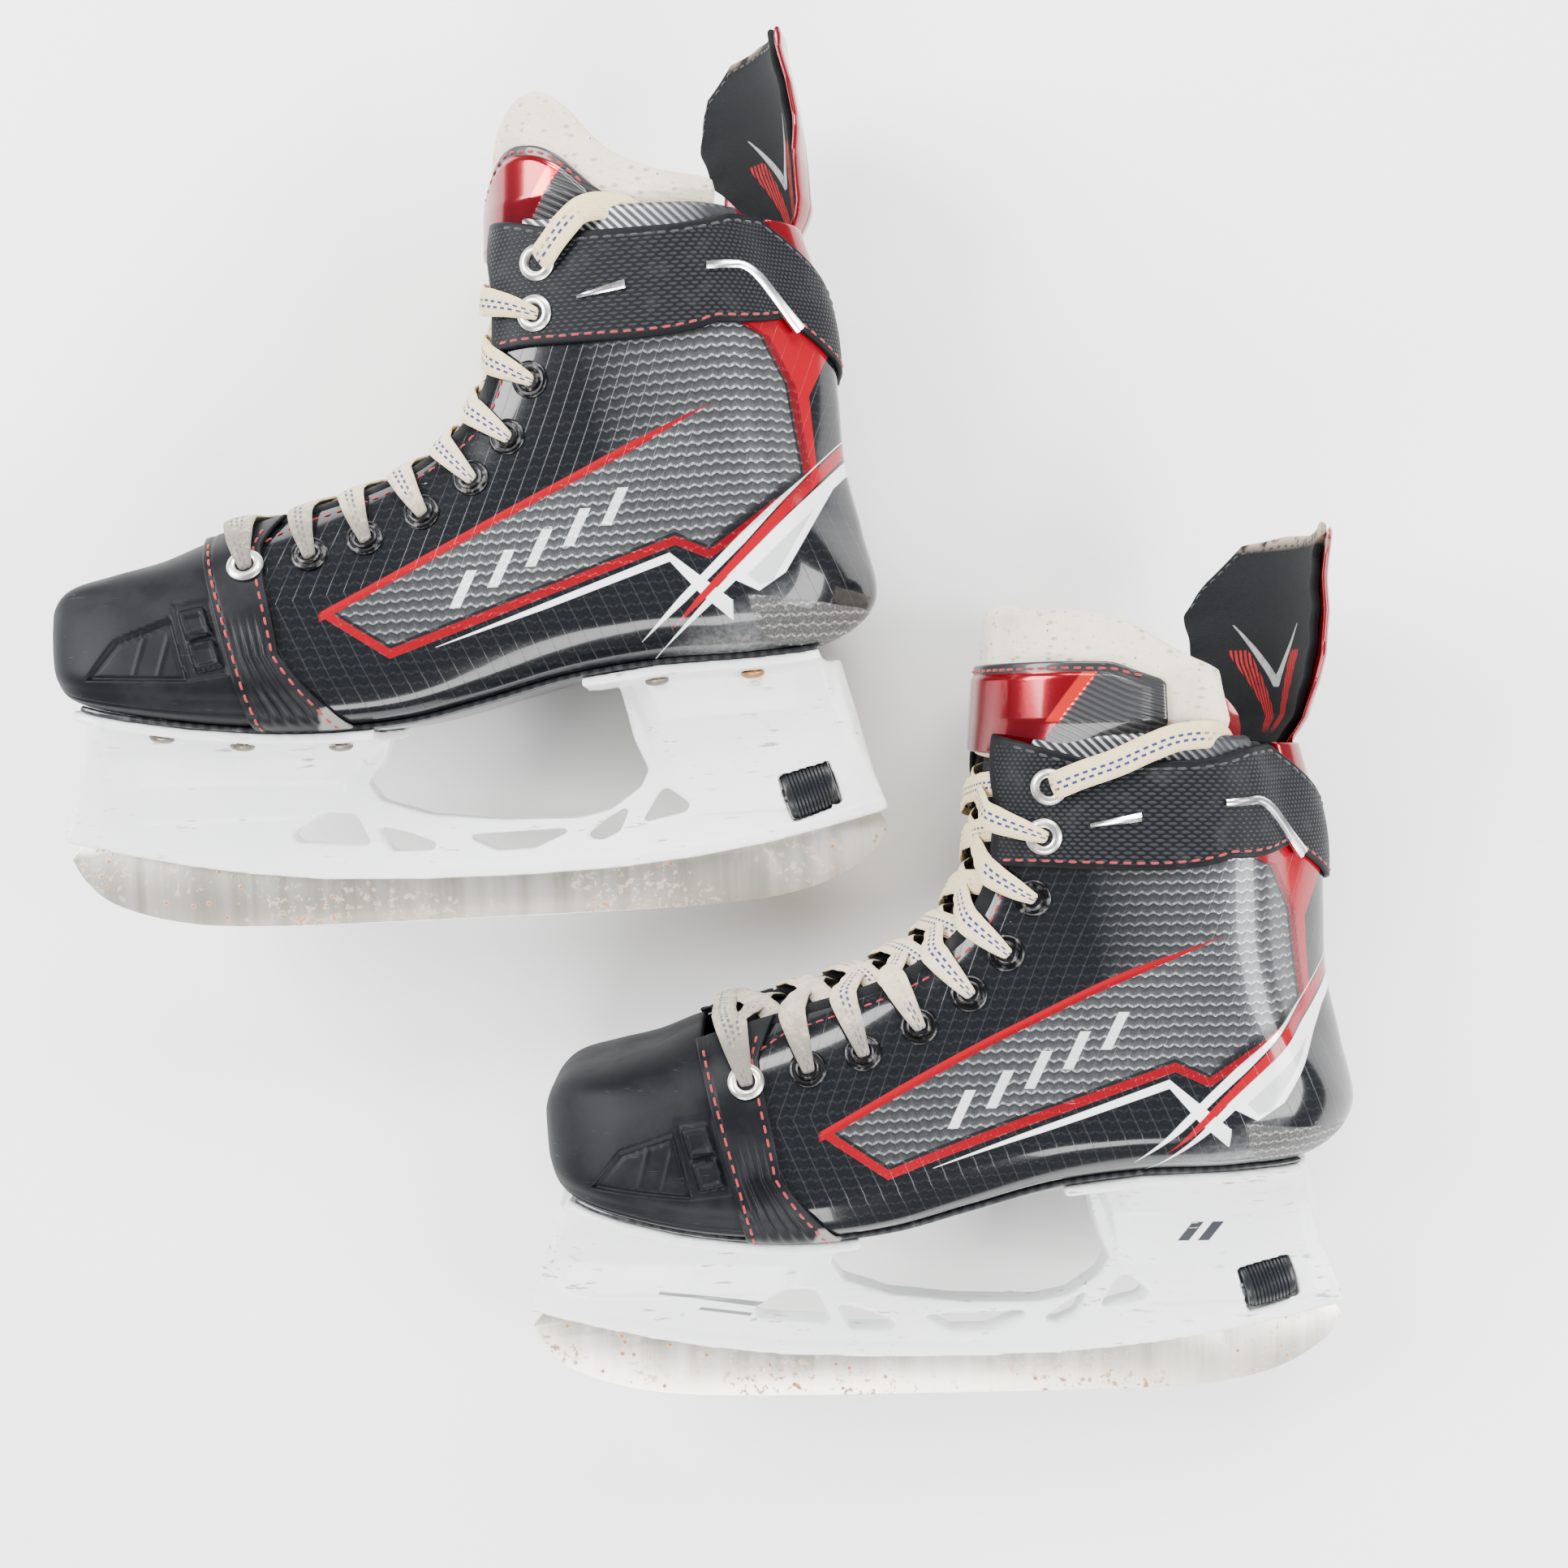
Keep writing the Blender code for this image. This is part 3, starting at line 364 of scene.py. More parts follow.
    def area(self, *corners, soft=0.12):
        """1 inside a convex outline of points (x, z), either way round."""
        turn = sum(a[0] * b[1] - b[0] * a[1] for a, b in zip(corners, corners[1:] + corners[:1]))
        corners = corners if turn > 0 else corners[::-1]
        least = None
        for p, q in zip(corners, corners[1:] + corners[:1]):
            side = self.line(p, q)
            least = side if least is None else least.min(side)
        return least.inside(soft)


RED = (0.27, 0.0, 0.008)
DEEP_RED = (0.14, 0.0, 0.006)
WHITE = (0.86, 0.87, 0.88)
BLACK = (0.008, 0.009, 0.011)


def shell_paint():
    """Glossy black shell with the printed side panel."""
    p = Paint("shell", BLACK, 0.2, Coat_Weight=0.32, Coat_Roughness=0.03, Specular_IOR_Level=0.25)
    x, z = p.x, p.z

    # rows of small zigzag scales
    row = (z + x * 0.03 + (x / 3.7).triangle() * 0.9 + p.noise(14, 2) * 1.6) / 3.35
    in_row = row.fract()
    zigzag = (x / 1.85 + row.floor() * 0.5).triangle().ramp(0.15, 0.6, 0.35, 1)
    zigzag = (in_row - 0.12).abs().ramp(0.16, 0.05) * zigzag
    speck = p.noise(0.7, 3, 0.7)
    scale = in_row.ramp(0.2, 1.0, 1.0, 0.25) * speck.ramp(0.25, 0.75, 0.35, 1.0)

    # the panel: distances inside its lower, front, rear and upper edges
    above = (z - x.curve([(-118.5, 143), (-83.5, 118.5), (-72.5, 123.5), (21, 90.5), (60, 75)])) * 0.9
    front = -p.line((42.5, 105), (21, 90.5))
    rear = x - z.curve([(120, -118.7), (143, -118.5), (175, -114), (190, -106), (198, -89), (206, -70)])
    under = (x.curve([(-86, 168), (-50, 151.5), (-15, 134.5), (42.5, 105), (60, 95)]) - z) * 0.9
    full = above.min(front).min(rear)
    edge = above.min(front).min(rear + 0.4)
    lit_rear = (x * -1.0 + (z - 170.0) * 0.12).ramp(46, 88)
    low_part = under.inside(0.6) * x.ramp(46, -20, 0.55, 1.0)
    silver = full.inside() * low_part.max(lit_rear * 0.95) * p.noise(60, 1).ramp(0.3, 0.7, 0.75, 1.1)
    bounded = under.inside().max(x.ramp(-60, -61))
    red_edge = edge.inside() * (2.7 - edge).inside() * bounded * (z - 205.0).ramp(0, -2)
    upper = (1.35 - under.abs() + x.ramp(-60, -88, 0.0, -1.4)).inside() * x.ramp(-90, -84) * x.ramp(43.5, 42)
    dark_rim = (edge - 2.7).inside() * (3.8 - edge).inside() * bounded
    wedge = (x - z.curve([(143, -120.8), (172, -118.8), (188, -127)])).inside() * (0.5 - rear).inside()
    wedge = wedge * z.ramp(142, 143) * z.ramp(214, 213)
    tag = (5.6 - above).inside(1.0) * above.inside() * x.ramp(-80, -88)

    # white and red stripes that cross under the notch
    w_line = x.curve([(-90, 105), (-70.5, 121), (8, 93)])
    w_width = x.curve([(-90, 6.5), (-80, 6.0), (-70.5, 2.8), (-30, 2.0), (6, 0.1)])
    white = (w_line - z).inside() * (z - w_line + w_width).inside() * x.ramp(-90.5, -90) * x.ramp(6.5, 6)
    wide = p.area((-127, 143.5), (-121, 143), (-87, 111.5), (-92, 103), (-99, 107.5), (-103, 105.5))
    for more in (p.stripe((-60, 92.5), (-117, 146), [(0, 0), (0.25, 2.4), (0.6, 3.0), (1, 0.3)]),
                 p.stripe((-68, 91), (-123.5, 143), [(0, 0.2), (0.3, 2.4), (0.62, 3.4), (0.63, 3.4), (1, 5.2)]),
                 wide * p.area((-130, 150), (-80, 150), (-80, 100), (-130, 100))):
        white = white.max(more)
    hollow = p.area((-118.5, 134), (-95.5, 113), (-99, 109.5), (-103.5, 110.5))
    r_stripe = p.stripe((-70, 96), (-120, 145), [(0, 0), (0.2, 2.2), (0.8, 3.4), (1, 3.6)])
    gap_stripe = p.stripe((-66, 92), (-121.5, 144), [(0, 0.6), (1, 1.6)])

    # a mist of silver at the heel, and a scuffed bare patch
    mist = p.area((-78, 92), (-104, 104), (-100, 84), (-70, 84), soft=7.0) * 0.35
    mist = mist * p.noise(2.2, 4, 0.7).ramp(0.4, 0.6, 0.5, 1.0)
    patch = p.area((-96, 106), (-134, 101), (-142, 97), (-136, 90), (-104, 90.5), (-98, 97), soft=1.2)
    patch = (patch * 2.0 - 1.0 + p.noise(5, 3) * 0.6).inside(0.25)

    # thin grey pinstripes over the black
    pins = (((x + (z - 118.0 + x * 0.15).abs() * 0.42) / 5.4).fract() - 0.5).abs().ramp(0.045, 0.012)

    # five slanted bars, and long scratches
    bars = None
    for n in range(5):
        foot_x, foot_z = -2.0 - n * 12.5, 106.0 + n * 6.2
        bar = p.area((foot_x, foot_z), (foot_x + 3.4, foot_z), (foot_x - 2.6, foot_z + 12.0),
                     (foot_x - 6.0, foot_z + 12.0))
        bars = bar if bars is None else bars.max(bar)
    scratch = p.noise(1.2, 2, 0.5, stretch=(14, 1, 1), seed=2).ramp(0.76, 0.8)
    scratch = scratch * p.noise(20, 1, seed=4).ramp(0.55, 0.65)

    grain = p.mix(speck.ramp(0.3, 0.7), (0.003, 0.0035, 0.005), (0.008, 0.009, 0.011))
    silvery = p.mix(scale, (0.016, 0.017, 0.020), (0.13, 0.135, 0.14))
    p.colours(grain, (pins * 0.16 * z.ramp(75, 90, 0.6, 1.0), (0.10, 0.105, 0.11)),
              (zigzag * 0.03, (0.25, 0.26, 0.27)),
              (silver.min(1.0), p.mix(zigzag * 0.75, silvery, (0.43, 0.44, 0.45))), (tag, (0.014, 0.014, 0.016)),
              (dark_rim * 0.9 * full.inside(), BLACK), (mist, (0.4, 0.41, 0.42)), (wedge, RED),
              (red_edge, p.mix(x.ramp(-60, -118), RED, DEEP_RED)), (upper, RED),
              (white * p.noise(9, 2).ramp(0.35, 0.6, 0.9, 1.0), WHITE), (hollow, (0.5, 0.51, 0.52)),
              (gap_stripe * white, BLACK), (r_stripe, RED), (bars * speck.ramp(0.2, 0.4, 0.85, 1), WHITE),
              (patch, p.mix(zigzag.max(speck.ramp(0.5, 0.8)), (0.05, 0.05, 0.05), (0.24, 0.24, 0.23))),
              (scratch * 0.5, (0.35, 0.35, 0.35)))
    rough = silver * 0.19 + 0.13
    for share, value in ((patch, 0.75), (scratch, 0.5)):
        rough = rough + share * (value - rough)
    p.set("Roughness", rough + p.noise(8, 3) * 0.06)
    p.set("Metallic", silver.min(1.0) * 0.55)
    return p.bump(zigzag * silver.max(0.03) * 0.6 + pins * 0.2 + scale * silver * 0.3, 0.22, 0.7)


def cap_paint():
    """Moulded matte black rubbery plastic, greyer where it has been rubbed."""
    p = Paint("cap", BLACK, 0.5, Specular_IOR_Level=0.12)
    rub = p.noise(16, 4, 0.6).ramp(0.45, 0.75)
    front = p.x.ramp(112, 134)
    fine = p.noise(0.5, 3, 0.6)
    scratch = p.noise(0.9, 2, 0.5, stretch=(10, 3, 1), seed=3).ramp(0.7, 0.76)
    p.colours(p.mix(rub * 0.8 + front * 0.3, (0.004, 0.0045, 0.006), (0.013, 0.014, 0.017)),
              (scratch * front.max(0.25) * 0.5, (0.13, 0.13, 0.13)))
    p.set("Roughness", rub * 0.12 + 0.46 + front * 0.12)
    p.bump(fine, 0.06, 0.5)
    return p.bump(scratch, 0.1, -0.3)


def strap_paint():
    """Rubbery synthetic leather of the toe straps, scuffed at the lower rear corner."""
    p = Paint("strap", BLACK, 0.5, Specular_IOR_Level=0.15)
    worn = p.area((48, 66), (28, 66), (31, 79), (44, 76), soft=2.0)
    worn = (worn + p.noise(6, 3) * 0.8 - 1.1).inside(0.15)
    rub = p.noise(12, 3).ramp(0.4, 0.75)
    p.colours(p.mix(rub, (0.004, 0.0045, 0.006), (0.010, 0.011, 0.013)), (worn, (0.22, 0.215, 0.2)))
    p.set("Roughness", rub * 0.12 + 0.4 + worn * 0.3)
    return p.bump(p.noise(0.55, 3, 0.6), 0.08, 0.5)


def cuff_paint():
    """Black textile of the cuff band with a fine raised dot in staggered rows."""
    p = Paint("cuff", BLACK, 0.5, Specular_IOR_Level=0.14)
    across, up = p.b * 21.0, p.z
    row = up / 1.35
    column = across / 1.55 + row.floor() * 0.5
    dx, dz = column.fract() - 0.5, row.fract() - 0.5
    dot = (dx * dx + dz * dz).ramp(0.16, 0.03)
    plain = (p.c - 2.6).ramp(0.2, -0.2)
    dot = dot * (plain * -1.0 + 1.0)
    # the raised dots are painted lighter than the cloth: a painted highlight on each dot
    p.colours(p.mix(dot, (0.003, 0.0035, 0.005), (0.022, 0.024, 0.027)),
              (p.noise(9, 3).ramp(0.55, 0.8) * 0.25, (0.05, 0.05, 0.05)))
    p.set("Roughness", dot * -0.12 + 0.52)
    p.bump(dot, 0.3, 0.8)
    return p.bump(p.noise(0.5, 2), 0.05, 0.4)


def thread_paint(name, colour):
    """Twisted thread: a runs along it, b round it."""
    p = Paint(name, colour, 0.7, Sheen_Weight=0.3)
    twist = (p.a * 1.3 + p.b * 2.0).fract().triangle()
    p.colours(p.mix(twist * 0.5 + p.noise(6, 2) * 0.3, colour, tuple(c * 0.45 for c in colour)))
    return p.bump(twist, 0.08, 0.6)


def metal_paint(name, colour, rough, dirt=0.4, dirt_colour=(0.12, 0.10, 0.08), own=False):
    """Polished or dulled metal with grime in the hollows. own: the pattern goes by the object's coordinates."""
    p = Paint(name, colour, rough, 1.0)
    if own:
        place = p.tree.nodes.new("ShaderNodeTexCoord")
        scaled = p.tree.nodes.new("ShaderNodeVectorMath")
        scaled.operation = "SCALE"
        scaled.inputs["Scale"].default_value = 1 / MM
        p.tree.links.new(place.outputs["Object"], scaled.inputs[0])
        p.place = scaled.outputs[0]
    grime = p.noise(2.6, 4, 0.6).ramp(0.52, 0.75) * dirt
    p.colours(p.mix(p.noise(5, 2) * 0.25, colour, tuple(c * 0.7 for c in colour)), (grime, dirt_colour))
    p.set("Roughness", grime * 0.4 + rough + p.noise(0.8, 2) * 0.06)
    p.set("Metallic", grime * -0.7 + 1.0)
    return p.bump(p.noise(1.4, 3), 0.03, 0.3)


def felt_paint():
    """Thick off-white wool felt, soiled by use, with short lies of fibre."""
    p = Paint("felt", (0.78, 0.74, 0.66), 0.95, Sheen_Weight=0.25, Sheen_Roughness=0.5, Specular_IOR_Level=0.1)
    fibre = p.noise(0.7, 4, 0.75, stretch=(1, 1, 1.8))
    curl = p.noise(0.35, 2, 0.6, stretch=(2.5, 2.5, 1), seed=5)
    soil = p.noise(16, 4, 0.6, seed=1).ramp(0.48, 0.78)
    pits = p.cells(4.6, stretch=(1, 1, 0.55), seed=2).ramp(0.30, 0.12)
    pits = pits * p.noise(11, 2, seed=6).ramp(0.36, 0.5)
    specks = p.cells(2.6, seed=3).ramp(0.2, 0.08) * p.noise(13, 2, seed=8).ramp(0.46, 0.56)
    pink = p.z.ramp(262, 246) * p.noise(18, 2, seed=9).ramp(0.4, 0.7) * 0.22
    p.colours(p.mix(fibre, (0.64, 0.55, 0.42), (0.92, 0.84, 0.70)), (soil * 0.6, (0.48, 0.41, 0.30)),
              (pits * 0.75, (0.30, 0.27, 0.22)), (specks * 0.9, (0.08, 0.07, 0.06)),
              (pink, (0.72, 0.36, 0.34)))
    p.bump(fibre, 0.5, 0.7)
    p.bump(curl, 0.25, 0.5)
    return p.bump(1.0 - pits, 0.5, 0.5)


def shield_paint():
    """Glossy facing of the tongue: a the place round it, b the height, c the distance from the edge."""
    p = Paint("shield", RED, 0.22, Coat_Weight=0.5, Coat_Roughness=0.08)
    side = p.a.abs()
    slant = side - (p.b - 240.0) * 0.035
    black = (slant - 3.05).inside(0.03)
    rib = ((p.b + side * 9.0) / 2.1).triangle().ramp(0.3, 0.7)
    border = (3.4 - p.c).inside(0.15)
    # a thin bright red line along the edge of the black field: a painted highlight
    bar = (0.12 - (slant - 2.92).abs()).inside(0.02) * (p.b - 237.0).inside() * (254.0 - p.b).inside()
    red = p.mix(p.b.ramp(232, 256), DEEP_RED, RED)
    p.colours(red, (black, (0.012, 0.012, 0.014)), (black * rib * 0.5, (0.05, 0.05, 0.055)),
              (bar, (0.85, 0.03, 0.02)), (border, (0.010, 0.010, 0.012)))
    p.set("Metallic", (black.max(border) * -1.0 + 1.0) * 0.65)
    p.set("Roughness", black.max(border) * 0.25 + 0.2)
    p.bump(rib * black, 0.5, 0.8)
    return p.bump(p.noise(0.5, 2), 0.04, 0.4)


def fabric_paint(name, dark=(0.005, 0.006, 0.007), light=(0.020, 0.022, 0.025), pitch=0.9):
    """Plain woven or knitted black cloth."""
    p = Paint(name, dark, 0.85, Sheen_Weight=0.05, Specular_IOR_Level=0.15)
    over = (p.x / pitch).triangle() * (p.z / pitch).triangle()
    fuzz = p.noise(0.5, 3, 0.7)
    dirt = p.noise(10, 3).ramp(0.55, 0.8)
    p.colours(p.mix(over * 0.7 + fuzz * 0.3, dark, light), (dirt * 0.2, (0.12, 0.11, 0.10)))
    p.bump(over, 0.25, 0.6)
    return p.bump(fuzz, 0.12, 0.5)


def pad_paint():
    """Inner face of the tendon guard: black cloth, silver chevron and red hatching, a across and b up."""
    p = Paint("pad", BLACK, 0.85, Sheen_Weight=0.03, Specular_IOR_Level=0.12)
    weave = ((p.a + p.b) / 0.8).triangle() * ((p.a - p.b) / 0.8).triangle()
    fuzz = p.noise(0.6, 3, 0.7)
    front = p.c.ramp(0.4, 0.6)
    side, up = (p.a + 2.0).abs(), p.b
    height = up - 248.0
    arm = (height * 0.9 - side).abs() * 0.8
    chevron = (height.ramp(0, 20, 2.4, 0.25) - arm).inside() * height.ramp(-1.2, -0.8) * height.ramp(20.5, 20)
    wing = (side - 7.5 - (up - 236.0) * 0.4).abs().ramp(4.6, 4.4)
    hatch = ((side * 0.9) / 1.7).fract().ramp(0.42, 0.5) * wing * up.ramp(231, 234)
    hatch = hatch * (side / 0.9 - up + 244.5).inside() * (259.5 - up).inside(0.3)
    wear = p.noise(3, 3).ramp(0.3, 0.5, 0.6, 1.0)
    tip = p.z.ramp(293, 297) * p.noise(5, 3).ramp(0.35, 0.5)
    p.colours(p.mix(weave * 0.6 + fuzz * 0.4, (0.006, 0.007, 0.008), (0.022, 0.024, 0.027)),
              (hatch * front * wear, (0.42, 0.015, 0.02)), (chevron * front * wear, (0.42, 0.43, 0.44)),
              (tip * 0.9, (0.42, 0.33, 0.25)))
    p.set("Metallic", chevron * front * 0.6)
    p.bump(weave, 0.2, 0.6)
    return p.bump(fuzz, 0.3, 0.5)


def guard_paint():
    """Glossy red plastic with a worn edge."""
    p = Paint("guard", RED, 0.2, Coat_Weight=0.5, Coat_Roughness=0.06)
    grain = p.noise(30, 2)
    worn = p.z.ramp(290, 299) * p.noise(4, 3).ramp(0.35, 0.55)
    nick = p.noise(1.6, 3, 0.6, stretch=(1, 1, 6)).ramp(0.70, 0.76)
    rib = p.b.ramp(0.30, 0.36) * p.b.ramp(0.42, 0.36)
    p.colours(p.mix(grain, DEEP_RED, RED), (rib, (0.02, 0.012, 0.014)), (worn, (0.45, 0.36, 0.28)),
              (nick * 0.35, (0.6, 0.35, 0.33)))
    p.set("Metallic", worn * -0.5 + 0.5)
    p.set("Roughness", worn * 0.5 + 0.2 + nick * 0.2)
    return p


def lace_paint():
    """Flat woven lace, cream, with two rows of navy ticks. a is the distance along, b across from -1 to 1."""
    p = Paint("lace", (0.78, 0.68, 0.50), 0.9, Sheen_Weight=0.15, Specular_IOR_Level=0.12)
    rib = (p.a / 0.75 + p.b.abs() * 0.7).triangle()
    cord = (p.b * 5.0).triangle()
    dash_a = (0.10 - (p.b - 0.30).abs()).inside(0.03) * ((p.a / 2.9).fract() - 0.42).inside(0.06)
    dash_b = (0.10 - (p.b + 0.12).abs()).inside(0.03) * ((p.a / 2.9 + 0.5).fract() - 0.42).inside(0.06)
    part = p.noise(26, 1, seed=3).ramp(0.40, 0.46)
    dash = dash_a.max(dash_b) * part
    low = p.z.ramp(160, 132) * 0.8 + 0.1
    dirt = (p.noise(5, 4, 0.65, seed=1) * 0.8 + p.noise(1.4, 3, seed=2) * 0.5 + low * 0.6 - 0.72).ramp(0.0, 0.4)
    p.colours(p.mix(rib * 0.6 + cord * 0.3, (0.60, 0.46, 0.24), (0.94, 0.80, 0.50)),
              (p.z.ramp(190, 140) * 0.5, (0.74, 0.70, 0.62)), (dash, (0.02, 0.03, 0.14)),
              (dirt * low.max(0.3), (0.13, 0.12, 0.11)))
    p.bump(rib * cord, 0.35, 0.8)
    return p.bump(p.noise(0.4, 3, 0.7), 0.15, 0.5)


def holder_paint():
    """White moulded plastic with scrapes, grey rub marks and two plain printed marks on the lateral side."""
    p = Paint("holder", (0.83, 0.85, 0.85), 0.32, Subsurface_Weight=0.08, Subsurface_Radius=(0.004, 0.004, 0.004))
    scrape = p.noise(1.6, 3, 0.6, stretch=(7, 1, 1.2), seed=1).ramp(0.61, 0.67)
    scrape = scrape * p.noise(18, 2, seed=2).ramp(0.50, 0.58)
    nick = p.noise(1.1, 3, 0.6, stretch=(2, 1, 1), seed=7).ramp(0.70, 0.74)
    rub = p.noise(9, 4, 0.65, stretch=(2, 1, 1), seed=3).ramp(0.58, 0.8) * p.x.abs().ramp(40, 120, 0.25, 1.0)
    lateral = p.y.ramp(3.0, 4.0)
    ticks = p.area((-86, 56), (-82, 56), (-87, 63), (-91, 63))
    ticks = ticks.max(p.area((-93, 56), (-89, 56), (-94, 63), (-98, 63)))
    lines = p.area((62, 33.5), (98, 39.0), (97, 40.2), (61, 35.4))
    lines = lines.max(p.area((66, 30.5), (84, 33), (83, 34), (65, 31.6)))
    marks = ticks.max(lines * 0.8) * lateral * (1.0 - scrape)
    p.colours(p.mix(p.noise(30, 2), (0.80, 0.83, 0.83), (0.88, 0.89, 0.88)), (rub * 0.35, (0.45, 0.45, 0.44)),
              (scrape * 0.75, (0.22, 0.21, 0.20)), (nick * 0.6, (0.3, 0.29, 0.27)),
              (marks, (0.02, 0.022, 0.03)))
    p.set("Roughness", scrape * 0.35 + rub * 0.2 + 0.28)
    p.bump(1.0 - scrape, 0.25, 0.5)
    return p.bump(p.noise(1.2, 2), 0.03, 0.4)


def steel_paint():
    """Stainless steel: vertical grinding marks, a brighter ground edge and specks of rust."""
    p = Paint("steel", (0.62, 0.6, 0.56), 0.3, 1.0)
    grind = p.noise(0.5, 3, 0.6, stretch=(1, 1, 40), seed=1)
    band = p.noise(5.5, 2, 0.5, stretch=(1, 1, 30), seed=2)
    low = p.z.ramp(12, 3)
    spots = p.cells(5.0, seed=5).ramp(0.17, 0.11) * p.noise(20, 2, seed=6).ramp(0.44, 0.52)
    stain = p.noise(3.2, 4, 0.65, seed=4).ramp(0.55, 0.63) * p.noise(26, 1, seed=9).ramp(0.42, 0.54)
    stain = stain * p.z.ramp(22, 5).max(p.x.abs().ramp(95, 130))
    rust = spots.max(stain * 0.9)
    p.colours(p.mix(band.ramp(0.3, 0.7), (0.58, 0.54, 0.46), (0.78, 0.75, 0.68)),
              (grind.ramp(0.4, 0.7) * 0.35, (0.84, 0.82, 0.77)), (low * 0.3, (0.78, 0.68, 0.50)),
              (rust * 0.95, (0.34, 0.13, 0.03)))
    p.set("Metallic", rust * -0.9 + 1.0)
    p.set("Roughness", rust * 0.4 + 0.32 + band * 0.12)
    p.bump(grind, 0.05, 0.5)
    return p.bump(rust, 0.08, 0.6)


def wheel_paint():
    p = Paint("wheel", (0.006, 0.007, 0.009), 0.35, Specular_IOR_Level=0.3)
    p.colours(p.mix(p.noise(3, 3), (0.005, 0.006, 0.008), (0.014, 0.016, 0.019)),
              (p.noise(1.2, 3, seed=2).ramp(0.68, 0.75) * 0.5, (0.3, 0.3, 0.3)))
    return p.bump(p.noise(0.6, 2), 0.04, 0.4)


def sole_paint():
    """Black composite of the outsole with a woven look under gloss."""
    p = Paint("sole", BLACK, 0.3, Coat_Weight=0.4, Coat_Roughness=0.1)
    check = ((p.x / 4.0).triangle() - 0.5) * ((p.y / 4.0).triangle() - 0.5)
    p.colours(p.mix(check.ramp(-0.05, 0.05), (0.010, 0.011, 0.013), (0.028, 0.030, 0.034)),
              (p.noise(7, 3).ramp(0.62, 0.8) * 0.5, (0.2, 0.2, 0.2)))
    return p.bump(check, 0.1, 0.4)


def patch_paint():
    """Silver-grey ribbed lining that shows in the dip of the collar."""
    p = Paint("collar_patch", (0.2, 0.2, 0.21), 0.45, 0.5)
    rib = ((p.x * 0.9 - p.z * 0.9) / 2.7).triangle()
    light = p.x.ramp(-88, -58)
    p.colours(p.mix(rib.ramp(0.45, 0.75) * light, (0.035, 0.037, 0.042), (0.55, 0.56, 0.57)))
    return p.bump(rib, 0.4, 0.7)


PAINTS = {
    "shell": shell_paint(), "cap": cap_paint(), "strap": strap_paint(), "cuff": cuff_paint(),
    "thread_red": thread_paint("thread_red", (0.36, 0.004, 0.010)),
    "thread_black": thread_paint("thread_black", (0.02, 0.021, 0.024)),
    "chrome": metal_paint("chrome", (0.78, 0.79, 0.80), 0.16, 0.25),
    "eyelet_silver": metal_paint("eyelet_silver", (0.66, 0.65, 0.62), 0.3, 0.5),
    "bolt": metal_paint("bolt", (0.5, 0.5, 0.49), 0.32, 0.6, own=True),
    "eyelet_black": metal_paint("eyelet_black", (0.022, 0.022, 0.024), 0.28, 0.8, (0.16, 0.15, 0.14)),
    "rivet": metal_paint("rivet", (0.24, 0.21, 0.18), 0.4, 0.7, (0.10, 0.06, 0.04)),
    "rivet_rust": metal_paint("rivet_rust", (0.45, 0.23, 0.11), 0.45, 0.6, (0.20, 0.08, 0.03)),
    "felt": felt_paint(), "shield": shield_paint(), "lining": fabric_paint("lining"),
    "binding": fabric_paint("binding", (0.005, 0.005, 0.006), (0.012, 0.013, 0.015), 0.7), "pad": pad_paint(),
    "guard": guard_paint(), "lace": lace_paint(), "holder": holder_paint(), "steel": steel_paint(),
    "wheel": wheel_paint(), "sole": sole_paint(), "patch": patch_paint(),
}


# ---------------------------------------------------------------- building pieces
def spaced(length, step, rounding=0.9):
    """Positions from 0 to 1 along an edge, closer at the ends, and how thick the plate is there."""
    close = np.array([0.0, 0.08, 0.3, 0.6]) * rounding
    count = max(2, int(round((length - 2 * rounding) / step)))
    at = np.concatenate([close, np.linspace(rounding, length - rounding, count + 1), length - close[::-1]])
    edge = np.minimum(at, length - at) / rounding
    thick = np.sqrt(np.clip(1 - (1 - np.clip(edge, 0, 1)) ** 2, 0.02, 1))
    return at / length, thick


def unit(vectors):
    return vectors / np.linalg.norm(vectors, axis=-1, keepdims=True)


def averaged(row, reach):
    """Each value replaced by the mean of its neighbours up to reach places away."""
    width = 2 * reach + 1
    return np.convolve(np.pad(row, reach, mode="edge"), np.ones(width) / width, "valid")


def grid_faces(rows, columns, start=0, ring=False, flip=False):
    i, j = np.meshgrid(np.arange(rows - 1), np.arange(columns if ring else columns - 1), indexing="ij")
    k = (j + 1) % columns
    quads = np.stack([i * columns + j, (i + 1) * columns + j, (i + 1) * columns + k, i * columns + k], -1)
    quads = quads.reshape(-1, 4) + start
    return quads[:, ::-1] if flip else quads


def solid(rings, start=0):
    """Points and faces of a closed form through rings of points, an array of (rings, points of a ring, 3)."""
    rows, n = rings.shape[:2]
    faces = grid_faces(rows, n, start, ring=True).tolist()
    faces += [list(range(start + first, start + first + n)) for first in (0, (rows - 1) * n)]
    return rings.reshape(-1, 3), faces


def note(mesh, name, vectors):
    """Stores a vector at each point of the mesh."""
    values = np.asarray(vectors, np.float32).ravel()
    mesh.attributes.new(name, "FLOAT_VECTOR", "POINT").data.foreach_set("vector", values)


def places(mesh):
    co = np.zeros(len(mesh.vertices) * 3, np.float32)
    mesh.vertices.foreach_get("co", co)
    return co.reshape(-1, 3).astype(float)


def move(mesh, points):
    mesh.vertices.foreach_set("co", points.astype(np.float32).ravel())


def show(name, data):
    obj = bpy.data.objects.new(name, data)
    bpy.context.scene.collection.objects.link(obj)
    return obj


